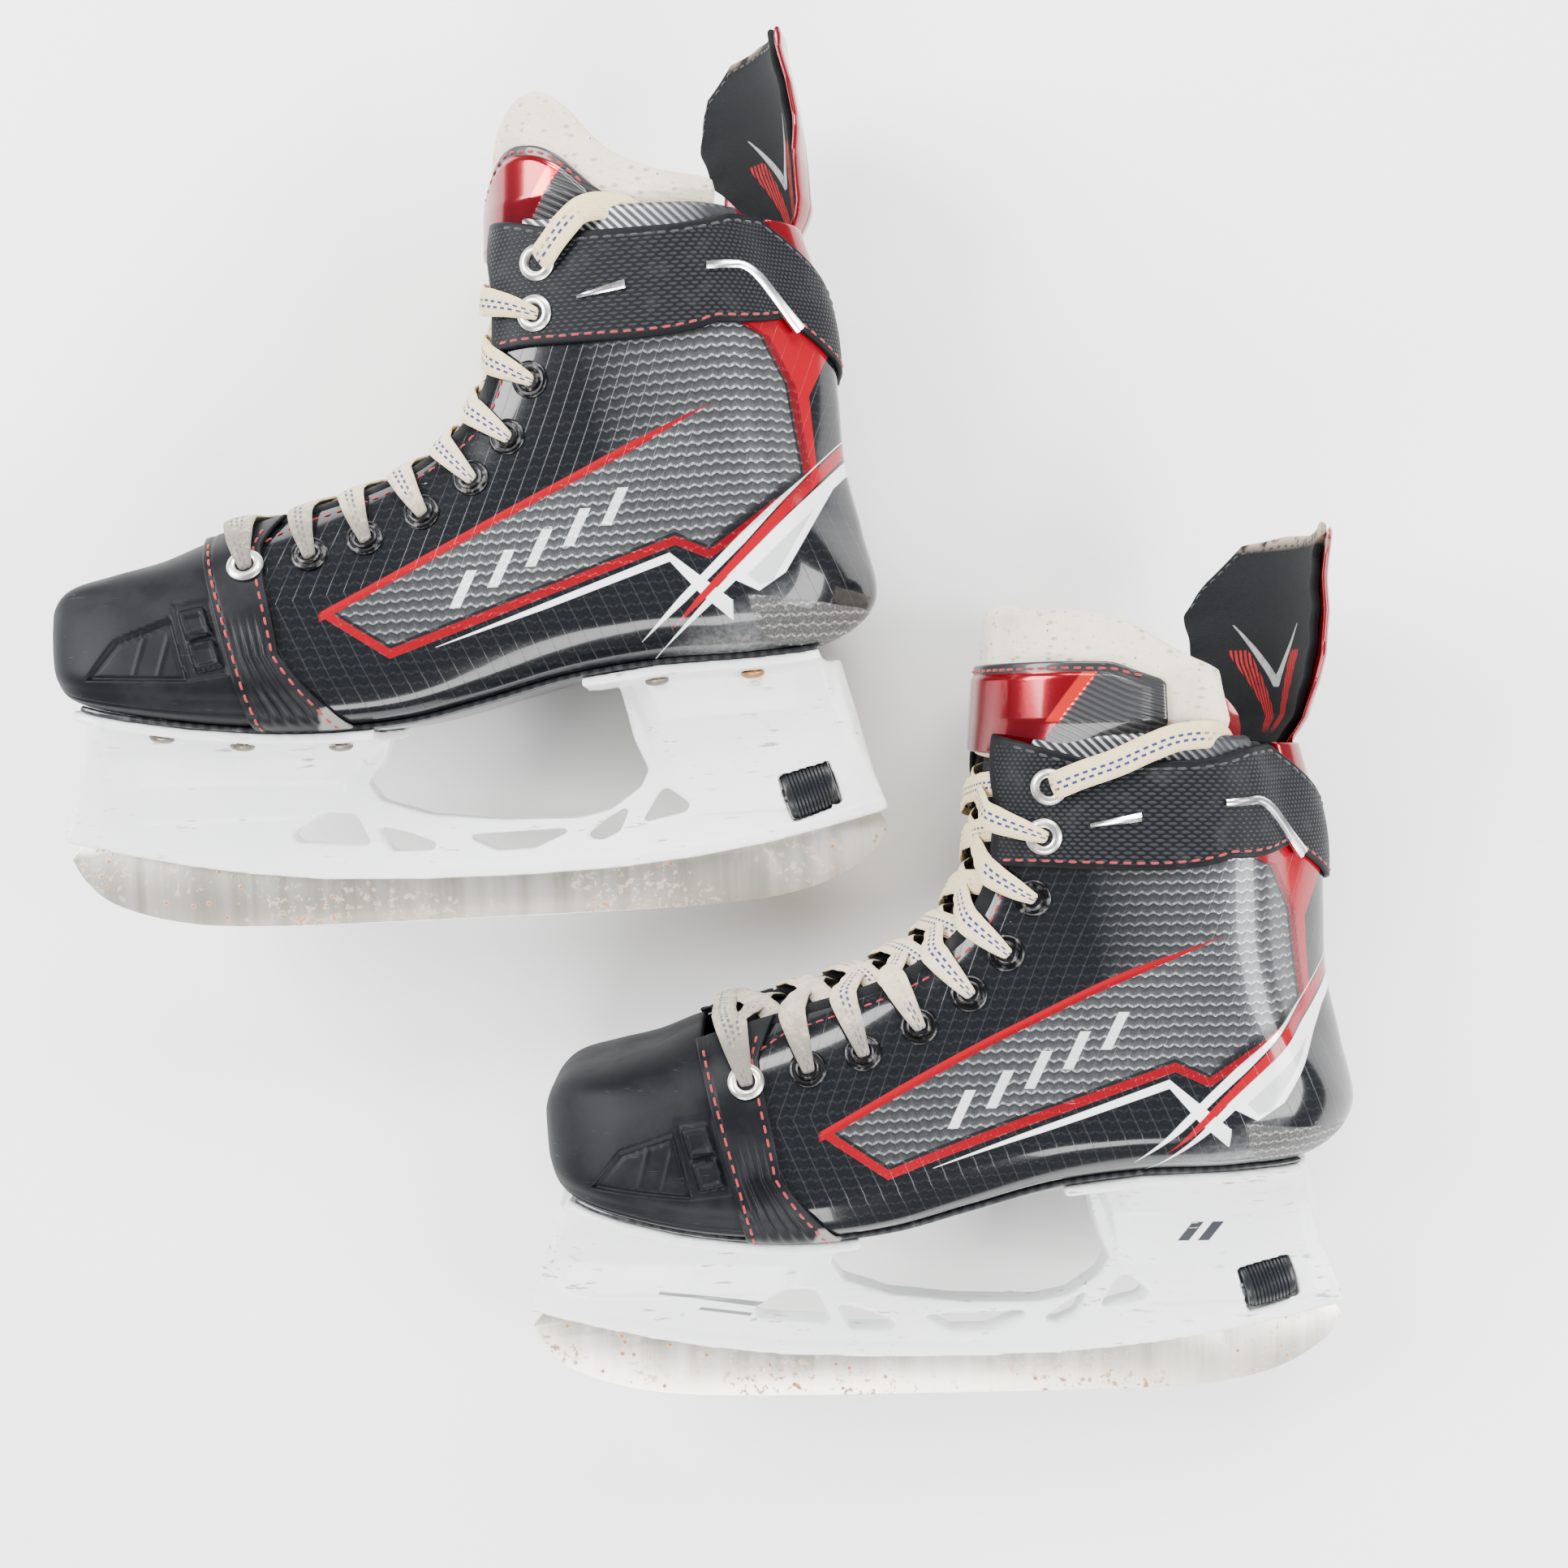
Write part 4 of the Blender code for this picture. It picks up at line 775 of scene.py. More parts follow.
class Skate:
    """Puts the pieces of one skate in place."""

    def __init__(self, name, side):
        self.name, self.side = name, side
        flex, down = JOINTS[name + "_tongue_flex"], JOINTS[name + "_runner_slide"]
        left, up = Vector(flex["axis"]), -Vector(down["axis"])
        self.turn = Matrix((left.cross(up), left, up)).transposed()
        hinge = Vector((TONGUE_HINGE[0], 0, TONGUE_HINGE[1])) * MM
        self.origin = Vector(flex["pos_m"]) - self.turn @ hinge

    def world(self, points):
        """World coordinates of points in the left skate's frame."""
        points = np.asarray(points, float) * MM * np.array([1, self.side, 1])
        return points @ np.array(self.turn).T + np.array(self.origin)

    def design(self, points):
        """The way back from world."""
        points = (np.asarray(points, float) - np.array(self.origin)) @ np.array(self.turn)
        return points / MM * np.array([1, self.side, 1])

    def put(self, piece, points, faces, paint, body="boot", stands_for=(), slot=None, along=None, sharp=50):
        """A mesh piece from points in millimetres; along is a second vector for its material."""
        points = np.asarray(points, float)
        mesh = bpy.data.meshes.new(piece)
        mesh.from_pydata((points * MM).tolist(), [], [list(map(int, f)) for f in faces])
        note(mesh, "at", points)
        if along is not None:
            note(mesh, "along", along)
        form = bmesh.new()
        form.from_mesh(mesh)
        bmesh.ops.remove_doubles(form, verts=form.verts, dist=2e-6)
        bmesh.ops.dissolve_degenerate(form, edges=form.edges, dist=1e-7)
        bmesh.ops.recalc_face_normals(form, faces=form.faces)
        form.to_mesh(mesh)
        form.free()
        move(mesh, self.world(places(mesh) / MM))
        if self.side < 0:
            mesh.flip_normals()
        mesh.materials.append(PAINTS[paint].material)
        mesh.shade_smooth()
        mesh.set_sharp_from_angle(angle=math.radians(sharp))
        obj = show(f"{self.name}_{piece}", mesh)
        if stands_for:
            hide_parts(*[f"{self.name}_{node}" for node in stands_for])
        if body:
            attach(obj, f"{self.name}_{body}")
        return obj

    def bend(self, piece, body, start, end):
        """Bakes the piece's placement into its mesh; body, start and end, both (x, y, z), are not used."""
        start, end = self.world([start, end])
        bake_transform(piece)

    def plate(self, piece, outer, inner, paint, ring=False, along=None, **more):
        """A closed plate between two grids of points."""
        rows, columns = outer.shape[:2]
        size = rows * columns
        faces = [grid_faces(rows, columns, 0, ring), grid_faces(rows, columns, size, ring, True)]
        j = np.arange(columns if ring else columns - 1)
        k = (j + 1) % columns
        for i in (0, (rows - 1) * columns):
            faces.append(np.stack([i + j, i + k, size + i + k, size + i + j], -1))
        if not ring:
            i = np.arange(rows - 1) * columns
            for c in (0, columns - 1):
                faces.append(np.stack([i + c, i + columns + c, size + i + columns + c, size + i + c], -1))
        points = np.concatenate([outer.reshape(-1, 3), inner.reshape(-1, 3)])
        if along is not None:
            along = np.concatenate([np.asarray(a, float).reshape(-1, 3) for a in along])
        return self.put(piece, points, np.concatenate(faces), paint, along=along, **more)

    def skin(self, piece, t0, t1, u0, u1, inner, outer, paint, length, width, step=2.0, rounding=0.9,
             relief=None, forward=0.0, **more):
        """A plate on the boot from station t0(u) to t1(u) and from u0 to u1, with rounded edges."""
        rows, row_thick = spaced(length, step, rounding)
        columns, column_thick = spaced(width, step, rounding)
        u = u0 + (u1 - u0) * columns
        first = t0(u) if callable(t0) else t0 + 0 * u
        last = t1(u) if callable(t1) else t1 + 0 * u
        t = first + (last - first) * rows[:, None]
        u = np.broadcast_to(u, t.shape)
        u = u + forward * np.sign(u) * np.clip((t - 17.0) / 1.8, 0, 1) * np.clip(np.abs(u) - 4, 0, 1)
        thick = row_thick[:, None] * column_thick
        middle, half = (inner + outer) / 2, (outer - inner) / 2
        high = middle + half * thick
        if relief is not None:
            high = high + relief(t, u, boot(t, u)) * thick
        low = middle - half * thick
        edge = np.minimum(rows, 1 - rows)[:, None] * length
        edge = np.minimum(edge, np.minimum(columns, 1 - columns) * width)
        along = np.stack([t, u, edge], -1)
        outer, inner = offset_boot(t, u, high), offset_boot(t, u, low)
        return self.plate(piece, outer, inner, paint, along=(along, along), **more)

    def stitches(self, piece, rows, paint, body="boot", long=3.0, pitch=4.0, radius=0.36):
        """Short threads laid along rows of (points, normals)."""
        points, faces, along = [], [], []
        turn = np.arange(6) * 2 * math.pi / 6
        sink = np.array([-0.5, -0.05, 0.18, 0.26, 0.18, -0.05, -0.5])[:, None]
        fat = radius * np.array([0.35, 0.8, 1, 1, 1, 0.8, 0.35])[:, None]
        for line, normals in rows:
            step = np.linalg.norm(np.diff(line, axis=0), axis=1)
            run = np.concatenate([[0], np.cumsum(step)])
            for start in np.arange(0.6, run[-1] - long, pitch):
                at = start + long * np.array([0, 0.08, 0.25, 0.5, 0.75, 0.92, 1.0])
                centre = np.stack([np.interp(at, run, line[:, c]) for c in range(3)], -1)
                up = unit(np.stack([np.interp(at, run, normals[:, c]) for c in range(3)], -1))
                side = unit(np.cross(np.gradient(centre, axis=0), up))
                high = (sink + fat * 0.8 * np.sin(turn))[..., None] * up[:, None]
                wide = (fat * 1.15 * np.cos(turn))[..., None] * side[:, None]
                more, more_faces = solid(centre[:, None] + high + wide, len(points))
                points += more.tolist()
                faces += more_faces
                along += [(place, math.cos(angle), 0) for place in at for angle in turn]
        if points:
            self.put(piece, points, faces, paint, body=body, along=along)


def turned(profile, base, axis, sides=32):
    """Points and faces of a turned solid from (radius, height) along axis from base, closed at both ends."""
    axis = Vector(axis).normalized()
    across = np.array(axis.orthogonal().normalized())
    axis = np.array(axis)
    turn = np.arange(sides)[:, None] * 2 * math.pi / sides
    ring = np.cos(turn) * across + np.sin(turn) * np.cross(axis, across)
    radius, height = np.asarray(profile, float).T[..., None, None]
    return solid(np.asarray(base, float) + axis * height + ring * radius)


def joined(parts):
    """Several (points, faces) as one."""
    points, faces, start = [], [], 0
    for some, more in parts:
        points.append(np.asarray(some, float))
        faces += [[int(i) + start for i in f] for f in more]
        start += len(some)
    return np.concatenate(points), faces


def on_boot(t, u, out):
    t, u = np.asarray(t, float), np.asarray(u, float)
    return offset_boot(t, u, out), boot_normal(t, u)


def bump_between(value, low, high, soft):
    """1 between low and high with soft sides."""
    rise = np.clip((value - low) / soft + 0.5, 0, 1)
    fall = np.clip((high - value) / soft + 0.5, 0, 1)
    both = np.minimum(rise, fall)
    return both * both * (3 - 2 * both)


def in_polygon(x, z, corners, soft):
    """1 inside a convex outline of (x, z), with soft sides."""
    turn = sum(a[0] * b[1] - b[0] * a[1] for a, b in zip(corners, corners[1:] + corners[:1]))
    corners = corners if turn > 0 else corners[::-1]
    least = np.full(np.shape(x), 1e9)
    for (px, pz), (qx, qz) in zip(corners, corners[1:] + corners[:1]):
        length = math.hypot(qx - px, qz - pz)
        least = np.minimum(least, ((qx - px) * (z - pz) - (qz - pz) * (x - px)) / length)
    share = np.clip(least / soft + 0.5, 0, 1)
    return share * share * (3 - 2 * share)


# ---------------------------------------------------------------- boot
def build_shell(s):
    s.skin("shell", TOE_SEAM + 0.02, lambda u: cuff_top(u) - 0.12, -THROAT, THROAT, -SHELL, 0.0, "shell",
           330, 210, 2.2, stands_for=["quarter_shell"], slot="shell")
    for side, label in SIDES:
        t = np.linspace(6.25, 18.85, 130)
        section = [(4.86, 0.1), (4.90, 0.75), (5.0, 0.95), (5.07, 0.6), (5.09, -0.9), (5.05, -2.4),
                   (4.98, -2.9), (4.88, -2.75)]
        rings = np.stack([offset_boot(t, side * u + 0 * t, out + 0 * t) for u, out in section], 1)
        s.put(f"throat_binding_{label}", *solid(rings), "binding")


TOE_TRAPEZOID = [(117.0, 87.5), (107.5, 99.5), (90.0, 106.0), (84.5, 86.0)]
TOE_BUMPS = [[(87.3, 107.5), (79.3, 109.0), (76.6, 100.8), (84.6, 99.3)],
             [(84.2, 97.5), (76.2, 99.0), (73.6, 90.4), (81.4, 88.8)]]


def build_toe(s):
    def relief(x, z, y):
        out = -1.4 * in_polygon(x, z, TOE_TRAPEZOID, 0.8)
        grow = [(px + (px - 98) * -0.14, pz + (pz - 94) * -0.18) for px, pz in TOE_TRAPEZOID]
        out += 0.35 * in_polygon(x, z, grow, 0.6)
        for ridge in (0.32, 0.62):
            centre = 84.0 + (110 - 84) * ridge
            ridge_line = bump_between(x + (z - 94) * 0.25, centre - 0.5, centre + 0.5, 0.7)
            out += 0.3 * ridge_line * in_polygon(x, z, grow, 0.6)
        frame_polygon = [(89.5, 110.5), (77.5, 112.0), (71.5, 87.5), (84.0, 86.0)]
        out -= 0.5 * in_polygon(x, z, frame_polygon, 0.8)
        for corners in TOE_BUMPS:
            out += 1.7 * in_polygon(x, z, corners, 0.8)
            middle = np.mean(corners, axis=0)
            small = [tuple(middle + (np.array(c) - middle) * 0.66) for c in corners]
            out -= 0.8 * in_polygon(x, z, small, 0.6)
        return out * (np.abs(y) > 18)

    t = np.concatenate([np.linspace(0, 3, 90), np.linspace(3, TOE_SEAM - 0.02, 110)[1:]])
    u = np.linspace(0, 12, 361)[:-1]
    tt, uu = np.meshgrid(t, u, indexing="ij")
    surface = boot(tt, uu)
    out = relief(surface[..., 0], surface[..., 2], surface[..., 1])
    groove = bump_between(np.minimum(uu, 12 - uu), 1.42, 1.50, 0.06)
    out = out - 0.45 * groove * (tt < 6.0)
    out = out - 0.8 * np.clip((tt - 6.02) / 0.08, 0, 1) ** 2
    outer = offset_boot(tt, uu, out)
    inner = offset_boot(tt, uu, -TOE_CAP + 0 * tt)
    caps = []
    for grid, bulge in ((outer, 0.9), (inner, 0.3)):
        centre = grid[0].mean(0)
        rings = []
        for share in (0.05, 0.3, 0.6, 0.85):
            rings.append(centre + (grid[0] - centre) * share + np.array([bulge * (1 - share ** 2), 0, 0]))
        caps.append(np.concatenate([np.stack(rings), grid]))
    outer, inner = caps
    s.plate("toe_cap_skin", outer, inner, "cap", ring=True, stands_for=["toe_cap"], slot="black_plastic",
            sharp=60)


def build_straps(s):
    rear = lambda u: np.interp(np.abs(u), *STRAP_REAR)
    for side, label in SIDES:
        def relief(t, u, at):
            k = np.abs(u)
            share = (t - 6.0) / (rear(u) - 6.0)
            wave = np.sin(share * 2 * math.pi * 7.0)
            band = bump_between(share, 0.24, 0.80, 0.1) * bump_between(k, 1.35, 3.3, 0.5)
            return 0.45 * wave * band - 0.25 * bump_between(share, 0.1, 0.16, 0.03)
        s.skin(f"strap_{label}", 6.0, rear, side * 1.0, side * THROAT, GAP + 0.1, GAP + STRAP, "strap", 32, 84,
               0.7, relief=relief, stands_for=[f"toe_strap_{label}"], slot="strap", rounding=0.8)
        k = np.linspace(1.05, 4.75, 90)
        front_row = on_boot(6.0 + 0.11 + 0 * k, side * k, GAP + STRAP - 0.1)
        back = rear(k)
        back_row = on_boot(back - (back - 6.0) * 0.12, side * k, GAP + STRAP - 0.1)
        s.stitches(f"strap_stitches_{label}", [front_row, back_row], "thread_red", long=3.1, pitch=4.4)


def build_cuff(s):
    bottom = lambda u: np.interp(np.abs(u), *CUFF_BOTTOM)
    s.skin("cuff", bottom, cuff_top, -THROAT, THROAT, GAP - 0.2, GAP + STRAP, "cuff", 46, 212, 1.3,
           forward=0.24, stands_for=["cuff_band"], slot="strap", rounding=1.0)
    low, top = [], []
    for side in (1, -1):
        k = np.linspace(0.05, 4.9, 130)
        start, end = bottom(k), cuff_top(k)
        size = np.linalg.norm(boot(end, k) - boot(start, k), axis=-1)
        low.append(on_boot(start + (end - start) * 2.6 / size, side * k, GAP + STRAP - 0.15))
        top.append(on_boot(end - (end - start) * 2.4 / size, side * k, GAP + STRAP - 0.15))
    s.stitches("cuff_stitches_red", low, "thread_red", long=3.2, pitch=4.3)
    s.stitches("cuff_stitches_black", top, "thread_black", long=3.4, pitch=4.4)
    bars = []
    for side in (1, -1):
        for line, widths in (([(-44, 203.5), (-62, 206.8)], (1.0, 3.0)),
                             ([(-85.5, 211.0), (-98.5, 211.6), (-116.2, 191.5)], (2.4, 2.8, 3.6))):
            bars.append(bar_on_boot(line, widths, side))
    s.put("cuff_bars", *joined(bars), "chrome", slot="eyelet", sharp=30)


def bar_on_boot(line, widths, side, base=GAP + 1.5, high=1.5):
    """A raised bevelled bar along a line of (x, z)."""
    fine, wide = [], []
    for n in range(len(line) - 1):
        for share in np.linspace(0, 1, 14)[: None if n == len(line) - 2 else -1]:
            fine.append(np.array(line[n]) * (1 - share) + np.array(line[n + 1]) * share)
            wide.append(widths[n] * (1 - share) + widths[n + 1] * share)
    fine, wide = np.array(fine), np.array(wide)
    ahead = unit(np.gradient(fine, axis=0))
    side_way = np.stack([-ahead[:, 1], ahead[:, 0]], -1)
    rings = []
    for across, up in ((-0.5, 0.0), (-0.5, 0.75), (-0.28, 1.0), (0.0, 0.8), (0.28, 1.0), (0.5, 0.75), (0.5, 0.0)):
        spots = [place_on_boot(x, z) for x, z in fine + side_way * (wide * across)[:, None]]
        t, u = (averaged(row, 3) for row in np.array(spots).T)
        rings.append(offset_boot(t, side * u, base + high * up + 0 * t))
    return solid(np.stack(rings, 1))


def build_linings(s):
    """Lining, footbed and the collar's soft rim."""
    def rim(u):
        return np.minimum(cuff_top(u) + 0.10, 19.05)

    s.skin("lining", 3.9, rim, -4.3, 4.3, -(TOE_CAP + GAP) - LINER, -(TOE_CAP + GAP), "lining", 330, 180, 3.0,
           rounding=2.4, stands_for=["liner"], slot="liner")
    top = -(TOE_CAP + GAP) - LINER - GAP
    s.skin("insole", 4.0, 12.4, -0.86, 0.86, top - 2.2, top,
           "lining", 220, 60, 3.0, stands_for=["footbed"], slot="fabric")
    for side, label in SIDES:
        s.skin(f"collar_patch_{label}", lambda u: cuff_top(u) - 0.3, 19.12, side * 2.25, side * 4.55,
               -5.2, -0.35, "patch", 12, 46, 0.8, rounding=1.9)
    s.skin("guard_root", lambda u: cuff_top(u) - 0.35, 19.02, -1.75, 1.75, -SHELL, 0.3, "guard",
           26, 44, 1.2, rounding=1.0)


def build_sole(s):
    s.skin("sole", 2.7, 12.8, -0.95, 0.95, GAP - 0.1, GAP + OUTSOLE, "sole", 250, 66, 2.2, stands_for=["outsole"],
           slot="black_plastic")


# ---------------------------------------------------------------- tongue
PLAN = [(0, 0), (-1.6, 12), (-8, 24), (-20, 31.5), (-38, 34), (-62, 34.5)]
FELT_RIM = {"left": ([243, 262, 272, 273, 274], [275, 275.5, 273, 273, 271, 251]),
            "right": ([248, 268, 272, 268, 258], [255, 259, 273, 272.5, 249, 240])}
SHIELD_RIM = {"left": ([236, 248, 255, 255.5, 255], [255, 255.5, 256, 256.5, 256, 236]),
              "right": ([236, 250, 254, 248, 244], [242, 245, 256, 253, 235, 228])}


def rounded_rim(seat, tables, reach):
    """Height of an upper edge round the tongue: seat is positive on the side that lies upwards."""
    rim = np.interp(seat, range(-5, 6), [*tables[0], *tables[1]])
    return averaged(rim, reach)


def wrap(q, z, depth, low):
    """A point round the tongue: q is the place round it, z the height, depth the distance outwards."""
    flat = smooth(PLAN, np.abs(q))
    along = smooth(PLAN, np.abs(q) + 0.02) - smooth(PLAN, np.maximum(np.abs(q) - 0.02, 0))
    along = np.where((np.abs(q) < 0.02)[..., None], np.array([0.0, 1.0]), along)
    out = np.stack([along[..., 1], -along[..., 0]], -1)
    out = unit(out)
    tuck = 1 - 0.22 * np.clip((low - z) / 16, 0, 1)
    x = -18.5 + flat[..., 0] * (0.9 + 0.1 * tuck) + out[..., 0] * depth - 0.06 * (z - low)
    x = x - 10 * np.clip((np.abs(q) - 4) * (272 - z) / 35, 0, 1)
    y = (flat[..., 1] * tuck + out[..., 1] * depth) * np.where(q < 0, -1, 1)
    return np.stack([x, y, z], -1)


def build_tongue(s):
    low = TONGUE_HINGE[1] + 0.8
    bend = [(TONGUE_HINGE[0] - 20, 0, TONGUE_HINGE[1] + height) for height in (-9, 9)]

    # felt: a thick leaf, its upper edge rounded and a little uneven
    q, side_thick = spaced(205, 1.6, 3.0)
    q = q * 10 - 5
    share, end_thick = spaced(60, 1.6, 3.0)
    rim = rounded_rim(q * s.side, FELT_RIM[s.name], 7)
    foot = 224.0
    z = foot + (rim - foot) * share[:, None]
    qq = np.broadcast_to(q, z.shape)
    rng = np.random.default_rng(4)
    thick = end_thick[:, None] * side_thick
    waves = ((3.1, 0.21, 0.4), (1.7, -0.33, 1.9), (5.3, 0.12, 4.0))
    middle = 1.6 + sum(np.sin(qq * a + z * b + c) for a, b, c in waves) * 0.22
    outer, inner = (wrap(qq, z, middle + half * thick + rng.normal(0, 0.10, z.shape), low)
                    for half in (2.8, -2.8))
    felt = s.plate("tongue_felt", outer, inner, "felt", body=None, stands_for=["tongue_upper"], slot="felt",
                   sharp=180)
    s.bend(felt, "tongue", *bend)

    # facing: a glossy leaf with a puffed field and a row of stitches
    q, side_thick = spaced(190, 1.3, 1.2)
    q = q * 8.8 - 4.4
    share, end_thick = spaced(34, 0.9, 1.2)
    foot = 226.0
    rim = np.maximum(rounded_rim(q * s.side, SHIELD_RIM[s.name], 6), foot + 3)
    z = foot + (rim - foot) * share[:, None]
    qq = np.broadcast_to(q, z.shape)
    half = 0.8 * end_thick[:, None] * side_thick
    edge = np.minimum((1 - share)[:, None] * (rim - foot), (4.4 - np.abs(qq)) * 21)
    puff = 0.8 * bump_between(edge, 4.2, 99, 1.6)
    along = np.stack([qq * s.side, z, edge], -1)
    middle = 5.7
    outer, inner = wrap(qq, z, middle + half + puff, low), wrap(qq, z, middle - half, low)
    facing = s.plate("tongue_facing", outer, inner, "shield", along=(along, along), body=None,
                     stands_for=["tongue_shield"], slot="red")
    s.bend(facing, "tongue", *bend)
    k = np.linspace(-4.2, 4.2, 170)
    top = rounded_rim(k * s.side, SHIELD_RIM[s.name], 6) - 2.2
    line, under = (wrap(k, top, middle + depth, low)[top > low + 2] for depth in (0.8, -1.0))
    s.stitches("tongue_stitches", [(line, unit(line - under))], "thread_red", body="tongue", long=2.8, pitch=3.9)

    lower = s.skin("tongue_inside", 6.4, 18.6, 4.3, 7.7, -9.2, -3.8, "lining", 200, 70, 2.6, rounding=2.5,
                   stands_for=["tongue_lower"], slot="felt")


# ---------------------------------------------------------------- tendon guard
GUARD_FOOT = 227.0
GUARD_RIM = {"left": [272, 284, 296, 298, 297, 299, 300, 292],
             "right": [268, 287, 296, 296, 293, 290, 291, 284]}
WHOLE = (1.0, 1.0)
PAD_INSET = (0.54, 0.77)


def guard_surface(s, chord, share, depth, cover=1.0, drop=0.0, inset=WHOLE):
    """Point of the tendon guard: chord from -1 to 1 across, share from 0 to 1 up, depth towards the leg."""
    twist = GUARD_TWIST * s.side
    near = chord * s.side
    inset_low, inset_high = inset
    rim = np.interp(near, [-1, -0.8, -0.5, 0, 0.5, 0.85, 0.94, 1], GUARD_RIM[s.name]) - drop
    z = GUARD_FOOT + (rim - GUARD_FOOT) * share
    half = np.interp(z, [227, 233, 240, 248, 258, 272, 284, 305], [16, 20, 24, 29, 33.5, 36.5, 36, 37])
    near_share = np.interp(z, [233, 250, 262, 290, 300],
                           [inset_low, inset_low + 0.1, inset_high - 0.06, inset_high, 1])
    far_share = np.maximum(near_share, np.interp(z, [233, 255], [0.62, 1]))
    reach = chord * cover * np.where(near > 0, near_share, far_share)
    half = half + 0.5 * np.sin(z * 0.55 + near * 2) * (np.abs(chord) > 0.8) * (cover == 1.0)
    sag = np.interp(z, [227, 237, 280, 305], [8, 12, 15, 15])
    back = np.interp(z, [227, 237, 260, 283, 305], [-116.5, -122, -122, -121.5, -123])
    back = back + np.maximum(z - GUARD_HINGE[1] - 1.2, 0) * GUARD_LEAN[s.name]
    across = reach * half
    bowl = sag * reach ** 2 + depth
    return np.stack([back + bowl * math.cos(twist) - across * math.sin(twist),
                     across * math.cos(twist) + bowl * math.sin(twist), z], -1)


def build_guard(s):
    across, side_thick = spaced(74, 1.0, 1.6)
    up, end_thick = spaced(64, 1.0, 1.6)
    chord = np.broadcast_to(across * 2 - 1, (len(up), len(across)))
    share = np.broadcast_to(up[:, None], chord.shape)
    thick = end_thick[:, None] * side_thick
    ridges = 0.7 * sum(bump_between(np.abs(chord), *row, 0.06) for row in ((0.30, 0.38), (0.62, 0.68)))
    for piece, cover, middle, half, drop, inset, relief, paint, node, slot in (
            ("guard_shell", 0.97, 0.0, 1.2, 1.5, WHOLE, ridges, "guard", "tendon_guard", "red"),
            ("guard_pad", 1.0, 3.3, 1.8, 0.0, PAD_INSET, 0, "pad", "tendon_pad", "fabric")):
        inner, outer = (guard_surface(s, chord, share, depth, cover, drop=drop, inset=inset)
                        for depth in (middle + half * thick, middle - half * thick + relief))
        face = np.stack([chord * 37, inner[..., 2], 1 + 0 * chord], -1)
        back = np.stack([chord * 37, np.abs(chord), 0 * chord], -1)
        made = s.plate(piece, inner, outer, paint, along=(face, back), body=None, stands_for=[node], slot=slot)
        s.bend(made, "guard", (-121, 0, 229), (-121, 0, 238))
    k = np.linspace(-0.93, 0.93, 90)
    line, under = (guard_surface(s, k, 0.955 + 0 * k, depth, inset=PAD_INSET) for depth in (5.0, 3.0))
    s.stitches("guard_stitches", [(line, unit(line - under))], "thread_black", body="guard", long=2.6, pitch=3.8,
               radius=0.32)


# ---------------------------------------------------------------- eyelets and laces
SPOTS = [place_on_boot(x, z) for x, z in EYELETS]
ON_STRAP = [0]
ON_CUFF = [7, 8]
LIFT = [GAP + STRAP if n in ON_STRAP + ON_CUFF else 0.0 for n in range(9)]


def build_eyelets(s):
    rings = {"silver": [], "black": []}
    for side in (1, -1):
        for n, (t, u) in enumerate(SPOTS):
            at, up = on_boot(t, side * u, LIFT[n] + 0.1)
            bright = n in ON_STRAP + ON_CUFF
            r, hole = (EYELET_R + 0.3, EYELET_HOLE_R) if bright else (EYELET_R + 0.5, EYELET_HOLE_R - 0.1)
            foot = -4.2 - LIFT[n]
            profile = [(hole, foot), (hole + 0.5, foot), (hole + 0.5, 0.0), (r, 0.0), (r, 0.35)]
            if bright:
                profile += [(r - 0.4, 0.75), (r - 1.3, 1.25), (hole + 0.9, 1.3), (hole + 0.25, 1.0), (hole, 0.4)]
            else:
                profile += [(r - 0.3, 0.7), (r - 1.0, 0.85), (r - 1.15, 0.5), (hole + 1.3, 0.5), (hole + 1.15, 1.05),
                            (hole + 0.6, 1.25), (hole + 0.15, 1.0), (hole, 0.4)]
            profile.append(profile[0])
            points, faces = turned(profile, at, up, 36)
            rings["silver" if bright else "black"].append((points, faces[:-2]))
    s.put("eyelets_silver", *joined(rings["silver"]), "eyelet_silver", slot="eyelet", sharp=40)
    s.put("eyelets_black", *joined(rings["black"]), "eyelet_black", slot="eyelet", sharp=40,
          stands_for=["eyelets_lateral", "eyelets_medial"])
    rows = []
    for side in (1, -1):
        t = np.linspace(6.75, 15.4, 220)
        u = np.interp(t, [6.75, 7.1, 7.6, 9, 12, 15.4], [4.15, 4.45, 4.62, 4.66, 4.72, 4.8])
        rows.append(on_boot(t, side * u, -0.02))
    s.stitches("eyestay_stitches", rows, "thread_red", long=3.0, pitch=4.2, radius=0.32)


def ribbon(controls, per=14):
    """A flat lace through controls of (point, normal, width, thickness)."""
    at = np.linspace(0, len(controls) - 1, (len(controls) - 1) * per + 1)
    points = smooth([c[0] for c in controls], at)
    normals = smooth([c[1] for c in controls], at)
    wide, thick = smooth([c[2:] for c in controls], at).T[..., None]
    ahead = unit(np.gradient(points, axis=0))
    side = unit(np.cross(ahead, normals))
    up = np.cross(side, ahead)
    run = np.concatenate([[0], np.cumsum(np.linalg.norm(np.diff(points, axis=0), axis=1))])
    half = [(-1, 0), (-0.93, 0.7), (-0.6, 1), (-0.2, 1), (0.2, 1), (0.6, 1), (0.93, 0.7)]
    wave = 0.18 * np.sin(run * 0.55)[:, None]
    rings, along = [], []
    for a, b in half + [(-a, -b) for a, b in half]:
        cup = -0.10 * a * a * wide * 0.5
        rings.append(points + side * (a * wide / 2) + up * (b * thick / 2 + cup + wave * a))
        along.append(np.stack([run, a + 0 * run, b + 0 * run], -1))
    return *solid(np.stack(rings, 1)), np.stack(along, 1).reshape(-1, 3), points


